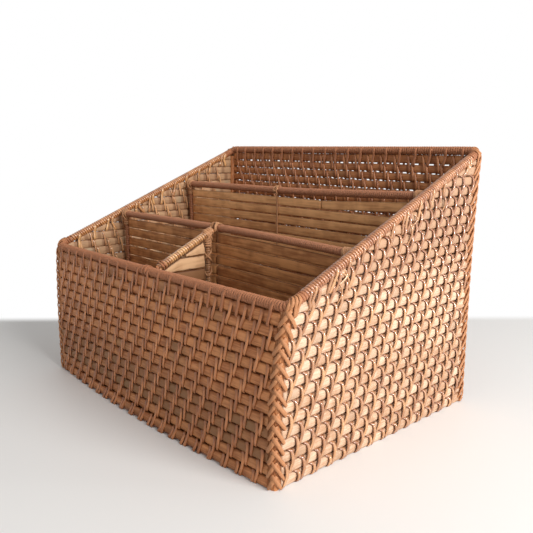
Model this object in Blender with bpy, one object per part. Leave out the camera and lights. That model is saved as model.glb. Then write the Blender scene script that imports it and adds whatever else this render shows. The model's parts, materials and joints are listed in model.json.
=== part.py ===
"""Slope-sided desk basket: stitched slat walls, lashed rims, bound corners, slatted dividers.

Metres, +Z up. +X runs along the front, +Y to the back. The origin is on the floor, under the
middle of the overall box. Walls, rims and corner bindings are first made flat, in wall
coordinates (along the wall, up, depth inwards), and then bent to the flared and bowed form.
"""
import math

import bmesh
import bpy
from mathutils import Matrix, Vector

# Overall form, measured on the outside at the floor and at the rims
BASE_WIDTH = 0.305
BASE_DEPTH = 0.215
FRONT_HEIGHT = 0.1195
BACK_HEIGHT = 0.2075

# How far the corners move outwards at the rims, growing with the cube of the height
FRONT_FLARE = 0.0078
BACK_FLARE = 0.0017
FRONT_LEAN = 0.0065
BACK_LEAN = 0.0043
FLARE_POWER = 3

# Outward bow of the front: a little all the way up, and more at the foot
FRONT_BOW = 0.0016
FOOT_BOW = 0.0068
FOOT_FADE = 0.0080

# Gap between pieces that touch, and the thickness of the split cane straps
SEAT_GAP = 0.0003
STRAP_THICKNESS = 0.0012

# Slat walls
WALL_THICKNESS = 0.0034
WALL_GROOVE = 0.0008
FRONT_ROWS = 14
UPPER_ROWS = 12
SHOULDER_SHARE = 0.24
FRONT_STATIONS = 6
SIDE_STATION_SHARES = (0.18, 0.42, 0.70)

# Stitches of the front and back: raised bands that cross the rows at a slant
BAND_PITCH = 0.0143
BAND_STAGGER = 0.0042
FRONT_BAND_START = 0.0039
BACK_BAND_START = -0.0028
BAND_WIDTH = 0.0056
BAND_CREST_WIDTH = 0.0042
BAND_THICKNESS = 0.0011
BAND_DIVE = 0.0024
BAND_SINK = 0.0004
FRONT_BAND_SHARES = (0.16, 0.66)
LEAST_BAND_ROWS = 3

# Rims: a round core in a wrapped sleeve, with ties down over the top rows
RIM_RADIUS = 0.0037
RIM_SLEEVE_RADIUS = 0.0033
RIM_CORE_RADIUS = 0.0020
RIM_STATIONS = 6
STRAIGHT_RIM_STATIONS = 2
RIM_END = 0.0140
TIE_WIDTH = 0.0024
TIE_DROP = 0.0130
TIE_LEAN = 0.0022
TIE_SEAT = 0.0009
TIE_PITCH = 0.0145
SIDE_TIE_PITCH = 0.0165
TIE_SINK = 0.0004
ELBOW_BEND = 0.0054
ELBOW_RIBS = 6
ELBOW_GROOVE_SHARE = 0.90

# Corner posts and the herringbone bindings round them
CORNER_RADIUS = 0.0046
CHEVRON_PITCH = 0.0080
CHEVRON_VALLEY = 0.0005
CHEVRON_EDGE_SHARE = 0.16
FRONT_STRAP_COUNT = 2
BACK_STRAP_COUNT = 4
WALL_WING = 0.0036
SIDE_WING = 0.0082
WALL_WING_DROP = 1.35
SIDE_WING_DROP = 1.05
BINDING_TOP_DROP = 0.0036

# Base: slats from front to back, and four rods at the foot of the walls
BASE_THICKNESS = 0.0040
BASE_SLATS = 17
BASE_GROOVE = 0.0008
BASE_ROD_RADIUS = 0.0025

# Dividers: a wrapped rail over slats that strands tie together, between end sticks
RAIL_CORE_RADIUS = 0.0016
SLAT_THICKNESS = 0.0018
STRAND_WIDTH = 0.0018
STRAND_PROUD = 0.0005
STICK_RADIUS = 0.00225
LASHING_THICKNESS = 0.0011
RAIL_LASHING_LENGTH = 0.0070
STICK_LASHING_LENGTH = 0.0080
RAIL_STATIONS = 4

REAR_PLACE_SHARE = 0.0450 / 0.2150
REAR_RAIL_Z = 0.1687
REAR_RAIL_RADIUS = 0.0032
REAR_RAIL_RISE = 0.0040
REAR_RISE_POWER = 1.3
REAR_SLAT_TOP_DROP = 0.0057
REAR_SLAT_PITCH = 0.0084
REAR_SLAT_SPACE = 0.0008
REAR_SLATS = 19
KNOT_X = -0.0080
KNOT_THICKNESS = 0.0009

FRONT_PLACE_SHARE = -0.0330 / 0.2150
FRONT_RAIL_Z = 0.1428
FRONT_RAIL_RADIUS = 0.0031
FRONT_RAIL_DROP = 0.0039
FRONT_DROP_POWER = 1.6
FRONT_SLAT_TOP_DROP = 0.0048
FRONT_SLAT_PITCH = 0.0090
FRONT_SLAT_SPACE = 0.0010
FRONT_SLATS = 15

SHORT_X = 0.0020
SHORT_RAIL_RADIUS = 0.0028
SHORT_RAIL_LOW_DROP = 0.0043
SHORT_RAIL_HIGH_DROP = 0.0017
SHORT_STICK_SPACE = 0.0095
SHORT_STICK_RADIUS = 0.0024
SHORT_SLAT_PITCH = 0.0107
SHORT_SLAT_SPACE = 0.0010
SHORT_SLAT_TOP_DROP = 0.0040
SHORT_SLATS = 13
JUNCTION_LENGTH = 0.0090
RIM_LASHING_LENGTH = 0.0080

# Facets, counts and tolerances
ROUND_SIDES = 8
RAIL_SIDES = 8
TUBE_RESOLUTION = 2
FRONT_POST_STATIONS = 8
BACK_POST_STATIONS = 4
POST_FOOT = 0.0030
WELD = 0.000001
SNAP = 0.0001
OVERRUN = 0.0200
SHARP_ANGLE = math.radians(35)

BARK = (0.30, 0.105, 0.040)
CANE = (0.56, 0.30, 0.13)
BAMBOO = (0.50, 0.27, 0.12)
DARK_BAMBOO = (0.36, 0.17, 0.075)

HALF_WIDTH = BASE_WIDTH / 2
HALF_DEPTH = BASE_DEPTH / 2
SLOPE = (BACK_HEIGHT - FRONT_HEIGHT) / BASE_DEPTH
SLOPE_STRETCH = math.hypot(1, SLOPE)
WALL_OUT = STRAP_THICKNESS + SEAT_GAP
WALL_IN = WALL_OUT + WALL_THICKNESS
POST_RADIUS = (CORNER_RADIUS - STRAP_THICKNESS) * math.cos(math.pi / 8) - SEAT_GAP
WALL_END = CORNER_RADIUS + POST_RADIUS + SEAT_GAP
RIM_SEAT = 2 * RIM_RADIUS + SEAT_GAP
FRONT_TOP = FRONT_HEIGHT - RIM_SEAT
BACK_TOP = BACK_HEIGHT - RIM_SEAT
REAR_Y = BASE_DEPTH * REAR_PLACE_SHARE
FRONT_Y = BASE_DEPTH * FRONT_PLACE_SHARE
SHORT_STICK_Y = FRONT_Y - SHORT_STICK_SPACE
SHORT_RAIL_LOW_Z = FRONT_HEIGHT - SHORT_RAIL_LOW_DROP
SHORT_RAIL_HIGH_Z = FRONT_RAIL_Z - SHORT_RAIL_HIGH_DROP


def bow(height):
    """Outward bow of the front wall's middle at a height."""
    return FRONT_BOW + FOOT_BOW * math.exp(-height / FOOT_FADE)


def flare_share(height, full):
    """Share of the rim's flare that is reached at a height."""
    return (height / full) ** FLARE_POWER


REAR_EDGE = HALF_DEPTH + BACK_LEAN * flare_share(BACK_HEIGHT - RIM_RADIUS, BACK_HEIGHT)
FRONT_EDGE = -HALF_DEPTH - bow(0) + WALL_OUT + WALL_GROOVE
ORIGIN_Y = (REAR_EDGE + FRONT_EDGE) / 2


def front_point(along, height, depth):
    """Place on the front wall: along from the middle, up, and depth inwards."""
    share = flare_share(height, FRONT_HEIGHT)
    across = along / HALF_WIDTH
    x = along + across * FRONT_FLARE * share
    y = -HALF_DEPTH + FRONT_LEAN * share - bow(height) * (1 - across ** 2) + depth
    return Vector((x, y - ORIGIN_Y, height))


def back_point(along, height, depth):
    """Place on the back wall: along from the middle, up, and depth inwards."""
    share = flare_share(height, BACK_HEIGHT)
    x = along + along / HALF_WIDTH * BACK_FLARE * share
    return Vector((x, HALF_DEPTH + BACK_LEAN * share - depth - ORIGIN_Y, height))


def side_point(sign, along, height, depth):
    """Place on a side wall: along from the front corner, up, and depth inwards."""
    t = along / BASE_DEPTH
    share = flare_share(height, FRONT_HEIGHT + SLOPE * along)
    out = HALF_WIDTH + (FRONT_FLARE + (BACK_FLARE - FRONT_FLARE) * t) * share
    y = along - HALF_DEPTH + (FRONT_LEAN + (BACK_LEAN - FRONT_LEAN) * t) * share
    return Vector((sign * (out - depth), y - ORIGIN_Y, height))


def corner_offsets(arc, depth, radius):
    """Distances in from the two faces at an arc length from the corner's middle."""
    quarter = radius * math.pi / 4
    if arc < -quarter:
        return radius - quarter - arc, depth
    if arc > quarter:
        return depth, radius - quarter + arc
    angle = math.pi / 4 + arc / radius
    reach = radius - depth
    return radius - reach * math.sin(angle), radius - reach * math.cos(angle)


def corner_point(end, sign, arc, height, depth, radius):
    """Place round a corner; arc is below zero on the front or back, above zero on the side."""
    from_side, from_end = corner_offsets(arc, depth, radius)
    if arc > 0:
        along = from_end if end == "front" else BASE_DEPTH - from_end
        return side_point(sign, along, height, from_side)
    along = sign * (HALF_WIDTH - from_side)
    if end == "front":
        return front_point(along, height, from_end)
    return back_point(along, height, from_end)


def rear_rail_height(x):
    """Height of the rear rail's axis, which rises to the right."""
    return REAR_RAIL_Z + REAR_RAIL_RISE * (max(x, 0) / HALF_WIDTH) ** REAR_RISE_POWER


def front_rail_height(x):
    """Height of the front rail's axis, which falls to the right."""
    return FRONT_RAIL_Z - FRONT_RAIL_DROP * (max(x, 0) / HALF_WIDTH) ** FRONT_DROP_POWER


def clear_scene():
    """Removes whatever the scene holds."""
    for obj in list(bpy.data.objects):
        bpy.data.objects.remove(obj, do_unlink=True)


def make_collection(name):
    """Makes a collection in the scene."""
    collection = bpy.data.collections.new(name)
    bpy.context.scene.collection.children.link(collection)
    return collection


def make_material(name, colour, roughness):
    """Makes a Principled material."""
    material = bpy.data.materials.new(name)
    material.use_nodes = True
    shader = material.node_tree.nodes["Principled BSDF"]
    shader.inputs["Base Color"].default_value = (*colour, 1)
    shader.inputs["Roughness"].default_value = roughness
    shader.inputs["Metallic"].default_value = 0
    return material


def add_object(name, data, parts, root, colour, roughness):
    """Adds a finished piece with its own material under the root."""
    obj = bpy.data.objects.new(name, data)
    parts.objects.link(obj)
    obj.parent = root
    data.materials.append(make_material(name, colour, roughness))
    return obj


def face_outwards(bm):
    """Turns the faces of a mesh of one or more bodies outwards."""
    bmesh.ops.recalc_face_normals(bm, faces=bm.faces)
    if bm.calc_volume(signed=True) < 0:
        bmesh.ops.reverse_faces(bm, faces=bm.faces)


def add_solid(name, bm, parts, root, colour, roughness=0.55):
    """Turns a mesh into a finished piece with its faces outwards."""
    face_outwards(bm)
    mesh = bpy.data.meshes.new(name)
    bm.to_mesh(mesh)
    bm.free()
    mesh.shade_smooth()
    mesh.set_sharp_from_angle(angle=SHARP_ANGLE)
    return add_object(name, mesh, parts, root, colour, roughness)


def add_tube(name, points, radius, parts, root, colour, radii=None):
    """Adds a round rod along a row of points."""
    curve = bpy.data.curves.new(name, "CURVE")
    curve.dimensions = "3D"
    curve.bevel_depth = radius
    curve.bevel_resolution = TUBE_RESOLUTION
    curve.use_fill_caps = True
    spline = curve.splines.new("POLY")
    spline.points.add(len(points) - 1)
    for index, place in enumerate(points):
        spline.points[index].co = (*place, 1)
        spline.points[index].radius = radii[index] if radii else 1
    return add_object(name, curve, parts, root, colour, 0.5)


def circle(across, up, radius, sides):
    """Points of a circle as an outline, with flats on both axes."""
    turn = 2 * math.pi / sides
    angles = [(index + 0.5) * turn for index in range(sides)]
    return [(across + radius * math.cos(a), up + radius * math.sin(a)) for a in angles]


def flat_sided(radius, sides):
    """Corner radius of a polygon whose flats lie at a radius."""
    return radius / math.cos(math.pi / sides)


def prism(outlines, start, end):
    """Extrudes closed outlines along the third axis; inner outlines become bores."""
    curve = bpy.data.curves.new("outline", "CURVE")
    curve.dimensions = "2D"
    curve.fill_mode = "BOTH"
    curve.extrude = (end - start) / 2
    for outline in outlines:
        spline = curve.splines.new("POLY")
        spline.points.add(len(outline) - 1)
        spline.use_cyclic_u = True
        for point, place in zip(spline.points, outline):
            point.co = (place[0], place[1], 0, 1)
    obj = bpy.data.objects.new("outline", curve)
    bpy.context.scene.collection.objects.link(obj)
    graph = bpy.context.evaluated_depsgraph_get()
    mesh = bpy.data.meshes.new_from_object(obj.evaluated_get(graph))
    bpy.data.objects.remove(obj, do_unlink=True)
    bm = bmesh.new()
    bm.from_mesh(mesh)
    bpy.data.meshes.remove(mesh)
    bmesh.ops.remove_doubles(bm, verts=bm.verts, dist=WELD)
    bmesh.ops.translate(bm, verts=bm.verts, vec=(0, 0, (start + end) / 2))
    if len(outlines) == 1:
        for limit in (start, end):
            caps = [face for face in bm.faces
                    if all(abs(vertex.co.z - limit) < WELD for vertex in face.verts)]
            bmesh.ops.dissolve_faces(bm, faces=caps)
    return bm


def slice_at(bm, places, axis):
    """Adds rings of edges at places along an axis, so that the mesh can bend."""
    for place in places:
        geometry = list(bm.verts) + list(bm.edges) + list(bm.faces)
        origin = place * axis
        bmesh.ops.bisect_plane(bm, geom=geometry, dist=WELD, plane_co=origin, plane_no=axis)


def trim(bm, origin, normal):
    """Cuts away what lies past a plane and closes the cut."""
    geometry = list(bm.verts) + list(bm.edges) + list(bm.faces)
    bmesh.ops.bisect_plane(bm, geom=geometry, dist=SNAP, plane_co=origin, plane_no=normal,
                           use_snap_center=True, clear_outer=True)
    bmesh.ops.remove_doubles(bm, verts=bm.verts, dist=WELD)
    rim = [edge for edge in bm.edges if edge.is_boundary]
    bmesh.ops.holes_fill(bm, edges=rim, sides=0)


def bend(bm, place):
    """Moves each point of a flat mesh to its place on the object."""
    bmesh.ops.triangulate(bm, faces=bm.faces)
    for vertex in bm.verts:
        vertex.co = place(vertex.co)


def steps(start, end, count):
    """Evenly spaced places from start to end."""
    return [start + (end - start) * index / count for index in range(count + 1)]


def merge(first, second):
    """Puts two separate meshes into one."""
    mesh = bpy.data.meshes.new("merged")
    second.to_mesh(mesh)
    second.free()
    first.from_mesh(mesh)
    bpy.data.meshes.remove(mesh)
    return first


def temporary(bm, cutters):
    """Makes a hidden helper object from a mesh."""
    face_outwards(bm)
    mesh = bpy.data.meshes.new("helper")
    bm.to_mesh(mesh)
    bm.free()
    obj = bpy.data.objects.new("helper", mesh)
    obj.hide_render = True
    obj.display_type = "WIRE"
    cutters.objects.link(obj)
    return obj


def unite(first, second, cutters):
    """Joins two overlapping meshes into one body with a Boolean union."""
    body = temporary(first, cutters)
    other = temporary(second, cutters)
    union = body.modifiers.new("union", "BOOLEAN")
    union.operation = "UNION"
    union.solver = "EXACT"
    union.object = other
    graph = bpy.context.evaluated_depsgraph_get()
    mesh = bpy.data.meshes.new_from_object(body.evaluated_get(graph))
    bm = bmesh.new()
    bm.from_mesh(mesh)
    bmesh.ops.remove_doubles(bm, verts=bm.verts, dist=WELD)
    bpy.data.objects.remove(body, do_unlink=True)
    bpy.data.objects.remove(other, do_unlink=True)
    bpy.data.meshes.remove(mesh)
    return bm


def row_levels(full):
    """Heights of the lines between rows of slats, up to the lower or the upper top."""
    levels = steps(0, FRONT_TOP, FRONT_ROWS)
    if full:
        levels += steps(FRONT_TOP, BACK_TOP, UPPER_ROWS)[1:]
    return levels


def stack_outline(levels, near, far, groove):
    """Section through a stack of slats, flat with rounded edges outside and rounded inside."""
    outside = []
    inside = []
    for low, high in zip(levels[:-1], levels[1:]):
        shoulder = (high - low) * SHOULDER_SHARE
        outside += [(low, near + groove), (low + shoulder, near), (high - shoulder, near)]
        inside += [(low, far - groove), ((low + high) / 2, far)]
    outside.append((levels[-1], near + groove))
    inside.append((levels[-1], far - groove))
    return outside + inside[::-1]


def rows_below(levels, height):
    """Number of rows, with a share of the last, that lie below a height."""
    row = max(index for index, low in enumerate(levels[:-1]) if low <= height)
    return row + (height - levels[row]) / (levels[row + 1] - levels[row])


def stitch_bands(levels, between, start, sign):
    """Bands of stitches over a flat wall, each sunk into a slat at both ends."""
    middles = [(low + high) / 2 for low, high in zip(levels[:-1], levels[1:])][:-1]
    limit = HALF_WIDTH - CORNER_RADIUS - WALL_WING - BAND_WIDTH / 2 - SEAT_GAP
    seat = WALL_OUT - SEAT_GAP
    crest = seat - BAND_THICKNESS
    sunk = WALL_OUT + BAND_SINK
    bands = bmesh.new()
    count = int((limit + BAND_STAGGER * len(levels)) / BAND_PITCH) + 1
    for index in range(-count, count + 1):
        foot = start + index * BAND_PITCH
        rows = [z for z in middles
                if abs(foot + BAND_STAGGER * rows_below(levels, z)) < limit]
        if len(rows) < LEAST_BAND_ROWS:
            continue
        low = rows[0] - BAND_DIVE / 2
        high = rows[-1] + BAND_DIVE / 2
        near = low + BAND_DIVE
        far = high - BAND_DIVE
        line = [near] + [z for z in between if near + BAND_DIVE < z < far - BAND_DIVE] + [far]
        outline = [(low, sunk)] + [(z, crest) for z in line] + [(high, sunk)]
        outline += [(z, seat) for z in line[::-1]]
        band = prism([outline], -BAND_WIDTH / 2, BAND_WIDTH / 2)
        bmesh.ops.triangulate(band, faces=band.faces)
        for vertex in band.verts:
            if vertex.co.y < (crest + seat) / 2:
                vertex.co.z *= BAND_CREST_WIDTH / BAND_WIDTH
            place = foot + BAND_STAGGER * rows_below(levels, vertex.co.x)
            vertex.co.z = sign * (vertex.co.z + place)
        merge(bands, band)
    return bands


def build_walls(parts, root, cutters):
    """Adds the four walls of stacked slats, with the stitches' bands on front and back."""
    along = Vector((0, 0, 1))
    up = Vector((1, 0, 0))
    reach = HALF_WIDTH - WALL_END
    front = prism([stack_outline(row_levels(False), WALL_OUT, WALL_IN, WALL_GROOVE)], -reach, reach)
    slice_at(front, row_levels(False)[1:-1], up)
    slice_at(front, steps(-reach, reach, FRONT_STATIONS)[1:-1], along)
    levels = row_levels(False)
    between = [levels[-1] * share for share in FRONT_BAND_SHARES]
    bands = stitch_bands(levels, between, FRONT_BAND_START, 1)
    front = unite(front, bands, cutters)
    bend(front, lambda p: front_point(p.z, p.x, p.y))
    add_solid("front_wall", front, parts, root, CANE)
    back = prism([stack_outline(row_levels(True), WALL_OUT, WALL_IN, WALL_GROOVE)], -reach, reach)
    slice_at(back, row_levels(True)[1:-1], up)
    bands = stitch_bands(row_levels(True), [FRONT_TOP], BACK_BAND_START, -1)
    back = unite(back, bands, cutters)
    bend(back, lambda p: back_point(p.z, p.x, p.y))
    add_solid("back_wall", back, parts, root, CANE)
    slope_top = FRONT_HEIGHT - RIM_RADIUS - (RIM_RADIUS + SEAT_GAP) * SLOPE_STRETCH
    side_end = WALL_END + SEAT_GAP
    length = BASE_DEPTH - 2 * side_end
    for name, sign in (("left_wall", -1), ("right_wall", 1)):
        side = prism([stack_outline(row_levels(True), WALL_OUT, WALL_IN, WALL_GROOVE)],
                     side_end, BASE_DEPTH - side_end)
        slice_at(side, row_levels(True)[1:-1], up)
        slice_at(side, [side_end + share * length for share in SIDE_STATION_SHARES], along)
        trim(side, Vector((slope_top, 0, 0)), Vector((1, 0, -SLOPE)))
        bend(side, lambda p: side_point(sign, p.z, p.x, p.y))
        add_solid(name, side, parts, root, CANE)


def build_base(parts, root):
    """Adds the slatted base and the four rods at the foot of the walls."""
    reach = HALF_WIDTH - WALL_END
    clear = WALL_IN + SEAT_GAP
    foot = bow(BASE_THICKNESS)
    levels = steps(-reach, reach, BASE_SLATS)

    def place(p):
        front = -HALF_DEPTH - foot * (1 - (p.x / HALF_WIDTH) ** 2) + clear
        y = front if p.z < 0 else HALF_DEPTH - clear
        return Vector((p.x, y - ORIGIN_Y, p.y))

    panel = prism([stack_outline(levels, 0, BASE_THICKNESS, BASE_GROOVE)], -HALF_DEPTH, HALF_DEPTH)
    bend(panel, place)
    add_solid("base_panel", panel, parts, root, BAMBOO)

    height = BASE_THICKNESS + SEAT_GAP + BASE_ROD_RADIUS
    inward = clear + BASE_ROD_RADIUS
    top_bow = bow(height + BASE_ROD_RADIUS)
    front = []
    for x in steps(-reach, reach, FRONT_STATIONS):
        y = -HALF_DEPTH - top_bow * (1 - (x / HALF_WIDTH) ** 2) + inward
        front.append((x, y - ORIGIN_Y, height))
    back_y = HALF_DEPTH - inward - ORIGIN_Y
    add_tube("base_rod_front", front, BASE_ROD_RADIUS, parts, root, CANE)
    add_tube("base_rod_back", [(-reach, back_y, height), (reach, back_y, height)],
             BASE_ROD_RADIUS, parts, root, CANE)
    for name, sign in (("base_rod_left", -1), ("base_rod_right", 1)):
        x = sign * (HALF_WIDTH - inward)
        low = front[-1][1] + 2 * BASE_ROD_RADIUS + SEAT_GAP
        high = back_y - BASE_ROD_RADIUS - SEAT_GAP
        add_tube(name, [(x, low - BASE_ROD_RADIUS, height), (x, high, height)],
                 BASE_ROD_RADIUS, parts, root, CANE)


def tie_outline(centre):
    """Section of one tie: out of the sleeve at the rim's side, and down over the top rows."""
    low = centre - TIE_DROP
    flat = RIM_RADIUS - RIM_SLEEVE_RADIUS * math.cos(math.pi / ROUND_SIDES)
    seat = flat + TIE_SINK
    return [(centre + TIE_SEAT, seat), (centre + TIE_SEAT, 0), (low, STRAP_THICKNESS / 2),
            (centre - RIM_SLEEVE_RADIUS, STRAP_THICKNESS), (centre - TIE_SEAT, seat)]


def on_slope(along, height, centre):
    """Turns a level rim's point onto the slope of the sides."""
    rise = (height - centre) / SLOPE_STRETCH
    return along - SLOPE * rise, centre + SLOPE * along + rise


def rim_sleeve(start, end, pitch, centre, stations, cutters):
    """Wrapped sleeve of a rim with its row of ties, still straight and level."""
    bore = flat_sided(RIM_CORE_RADIUS + SEAT_GAP, ROUND_SIDES)
    outlines = [circle(centre, RIM_RADIUS, RIM_SLEEVE_RADIUS, ROUND_SIDES),
                circle(centre, RIM_RADIUS, bore, ROUND_SIDES)]
    sleeve = prism(outlines, start, end)
    slice_at(sleeve, steps(start, end, stations)[1:-1], Vector((0, 0, 1)))
    count = int((end - start - pitch) / pitch)
    first = (start + end - count * pitch) / 2
    ties = bmesh.new()
    for index in range(count + 1):
        middle = first + index * pitch
        tie = prism([tie_outline(centre)], middle - TIE_WIDTH / 2, middle + TIE_WIDTH / 2)
        for vertex in tie.verts:
            vertex.co.z -= TIE_LEAN * (centre - vertex.co.x) / TIE_DROP
        merge(ties, tie)
    return unite(sleeve, ties, cutters)


def build_rims(parts, root, cutters):
    """Adds the rims' cores and sleeves, and the wrapped elbows at the corners."""
    front_z = FRONT_HEIGHT - RIM_RADIUS
    back_z = BACK_HEIGHT - RIM_RADIUS
    reach = HALF_WIDTH - RIM_END - 2 * SEAT_GAP
    ends = (("front", front_point, front_z, RIM_STATIONS),
            ("back", back_point, back_z, STRAIGHT_RIM_STATIONS))
    for name, point, centre, stations in ends:
        sleeve = rim_sleeve(-reach, reach, TIE_PITCH, centre, stations, cutters)
        bend(sleeve, lambda p: point(p.z, p.x, p.y))
        add_solid("rim_wrap_" + name, sleeve, parts, root, BARK)
        core = [point(x, centre, RIM_RADIUS) for x in steps(-reach, reach, stations)]
        add_tube("rim_core_" + name, core, RIM_CORE_RADIUS, parts, root, CANE)
    start = RIM_END + 2 * SEAT_GAP
    end = BASE_DEPTH - start
    for name, sign in (("left", -1), ("right", 1)):
        sleeve = rim_sleeve(start, end, SIDE_TIE_PITCH, front_z, STRAIGHT_RIM_STATIONS, cutters)
        bend(sleeve, lambda p: side_point(sign, *on_slope(p.z, p.x, front_z), p.y))
        add_solid("rim_wrap_" + name, sleeve, parts, root, BARK)
        stations = steps(start, end, STRAIGHT_RIM_STATIONS)
        core = [side_point(sign, y, front_z + SLOPE * y, RIM_RADIUS) for y in stations]
        add_tube("rim_core_" + name, core, RIM_CORE_RADIUS, parts, root, CANE)
    for end_name, centre, rise in (("front", front_z, SLOPE), ("back", back_z, -SLOPE)):
        for side_name, sign in (("left", -1), ("right", 1)):
            build_elbow(end_name, side_name, sign, centre, rise, parts, root)


def build_elbow(end_name, side_name, sign, centre, rise, parts, root):
    """Adds the ribbed elbow where two rims meet."""
    radius = RIM_RADIUS + ELBOW_BEND
    straight = RIM_END - radius
    limit = radius * math.pi / 4 + straight
    count = 2 * ELBOW_RIBS
    points = []
    radii = []
    for index, arc in enumerate(steps(-limit, limit, count)):
        from_end = corner_offsets(arc, RIM_RADIUS, radius)[1]
        settled = min(1, 2 * (from_end - RIM_RADIUS) / (WALL_END - RIM_RADIUS))
        height = centre + rise * from_end * settled
        points.append(corner_point(end_name, sign, arc, height, RIM_RADIUS, radius))
        radii.append(1 if index % 2 else ELBOW_GROOVE_SHARE)
    add_tube("rim_elbow_{}_{}".format(end_name, side_name), points, RIM_RADIUS, parts, root,
             BARK, radii)


def chevron_rows(top):
    """Number of straps that cover a corner, with some to spare for their slant."""
    return math.ceil((top + OVERRUN) / CHEVRON_PITCH) + 1


def chevron_outline(top, strap_count):
    """Section through the binding's overlapping straps, one strap a row, with a plain back."""
    outside = []
    back = []
    edge = CHEVRON_PITCH * CHEVRON_EDGE_SHARE
    valley = STRAP_THICKNESS - CHEVRON_VALLEY
    for row in range(chevron_rows(top)):
        low = (row - 0.5) * CHEVRON_PITCH
        outside += [(low, valley), (low + edge, 0)]
        if row % strap_count == 0:
            back.append((low, STRAP_THICKNESS))
    return outside + [(outside[-1][0], STRAP_THICKNESS)] + back[::-1]


def build_corners(parts, root):
    """Adds the corner posts and the herringbone bindings that hold the walls to them."""
    quarter = CORNER_RADIUS * math.pi / 4
    low_arc = -quarter - WALL_WING
    high_arc = quarter + SIDE_WING
    up = Vector((1, 0, 0))
    ends = (("front", FRONT_HEIGHT, SLOPE, FRONT_POST_STATIONS, FRONT_STRAP_COUNT),
            ("back", BACK_HEIGHT, -SLOPE, BACK_POST_STATIONS, BACK_STRAP_COUNT))
    for end_name, rim, rise, stations, strap_count in ends:
        top = rim - RIM_RADIUS - BINDING_TOP_DROP
        post_top = rim - RIM_SEAT + min(0, rise) * (CORNER_RADIUS + POST_RADIUS)
        for side_name, sign in (("left", -1), ("right", 1)):
            post = [corner_point(end_name, sign, 0, z, CORNER_RADIUS, CORNER_RADIUS)
                    for z in steps(POST_FOOT, post_top, stations)]
            post.insert(0, Vector((post[0].x, post[0].y, 0)))
            name = "{}_{}".format(end_name, side_name)
            add_tube("corner_post_" + name, post, POST_RADIUS, parts, root, CANE)
            sheet = prism([chevron_outline(top, strap_count)], low_arc, high_arc)
            lines = [(row - 0.5) * CHEVRON_PITCH
                     for row in range(strap_count, chevron_rows(top), strap_count)]
            slice_at(sheet, lines, up)
            slice_at(sheet, [-quarter, 0, quarter], Vector((0, 0, 1)))
            bmesh.ops.triangulate(sheet, faces=sheet.faces)
            for vertex in sheet.verts:
                drop = WALL_WING_DROP if vertex.co.z < 0 else SIDE_WING_DROP
                vertex.co.x -= abs(vertex.co.z) * drop - CHEVRON_PITCH
            trim(sheet, up * top, up)
            trim(sheet, Vector((0, 0, 0)), -up)

            def place(p):
                from_end = corner_offsets(p.z, p.y, CORNER_RADIUS)[1] if p.z > 0 else 0
                height = p.x * (1 + rise * from_end / top)
                return corner_point(end_name, sign, p.z, height, p.y, CORNER_RADIUS)

            bend(sheet, place)
            add_solid("corner_binding_" + name, sheet, parts, root, BARK)


def slat_outline(low, high, thickness):
    """Section of one flat slat."""
    half = thickness / 2
    return [(low, -half), (high, -half), (high, half), (low, half)]


def grille(slats, strands, top, bottom, cutters):
    """Slats of (low, high, start, end) with strands over their ends, fused into one body."""
    bars = bmesh.new()
    for low, high, start, end in slats:
        merge(bars, prism([slat_outline(low, high, SLAT_THICKNESS)], start, end))
    reach = SLAT_THICKNESS / 2 + STRAND_PROUD
    ties = bmesh.new()
    for place in strands:
        outline = [(bottom, -reach), (top, -reach), (top, reach), (bottom, reach)]
        merge(ties, prism([outline], place - STRAND_WIDTH / 2, place + STRAND_WIDTH / 2))
    return unite(bars, ties, cutters)


def ring(radius, start, end, thickness=LASHING_THICKNESS):
    """Short wrapped collar round a rod of a radius, along the third axis."""
    bore = flat_sided(radius + SEAT_GAP, RAIL_SIDES)
    outer = flat_sided(radius + SEAT_GAP + thickness, RAIL_SIDES)
    return prism([circle(0, 0, outer, RAIL_SIDES), circle(0, 0, bore, RAIL_SIDES)], start, end)


def add_rail(name, y, radius, height, reaches, parts, root):
    """Adds a cross rail: its core and its wrapped sleeve, between two ends along X."""
    low, high = reaches
    stations = steps(low, high, RAIL_STATIONS)
    core = [(x, y, height(x)) for x in stations]
    add_tube(name + "_rail_core", core, RAIL_CORE_RADIUS, parts, root, CANE)
    bore = flat_sided(RAIL_CORE_RADIUS + SEAT_GAP, RAIL_SIDES)
    sleeve = prism([circle(0, 0, radius, RAIL_SIDES), circle(0, 0, bore, RAIL_SIDES)],
                   low + SEAT_GAP, high - SEAT_GAP)
    slice_at(sleeve, stations[1:-1], Vector((0, 0, 1)))
    bend(sleeve, lambda p: Vector((p.z, y + p.x, height(p.z) + p.y)))
    add_solid(name + "_rail_wrap", sleeve, parts, root, BARK)


def add_stick_and_lashing(name, side, sign, y, radius, height, parts, root, cutters):
    """Adds an end stick under a rail's end and the lashing round both."""
    x = sign * STICK_X
    axis_z = height(x)
    top = axis_z - radius - LASHING_THICKNESS - 2 * SEAT_GAP
    foot = BASE_THICKNESS + 2 * (SEAT_GAP + BASE_ROD_RADIUS)
    add_tube("{}_stick_{}".format(name, side), [(x, y, foot), (x, y, top)], STICK_RADIUS,
             parts, root, CANE)
    near = STICK_X - RAIL_LASHING_LENGTH / 2
    collar = ring(radius, near, near + RAIL_LASHING_LENGTH)
    for vertex in collar.verts:
        x_here = sign * vertex.co.z
        vertex.co = Vector((x_here, vertex.co.x, vertex.co.y + height(x_here) - axis_z))
    lower = ring(STICK_RADIUS, -radius - LASHING_THICKNESS / 2 - STICK_LASHING_LENGTH,
                 -radius - SEAT_GAP - LASHING_THICKNESS / 2)
    bmesh.ops.translate(lower, verts=lower.verts, vec=(x, 0, 0))
    lashing = unite(collar, lower, cutters)
    bmesh.ops.translate(lashing, verts=lashing.verts, vec=(0, y, axis_z))
    add_solid("{}_lashing_{}".format(name, side), lashing, parts, root, BARK)


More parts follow.
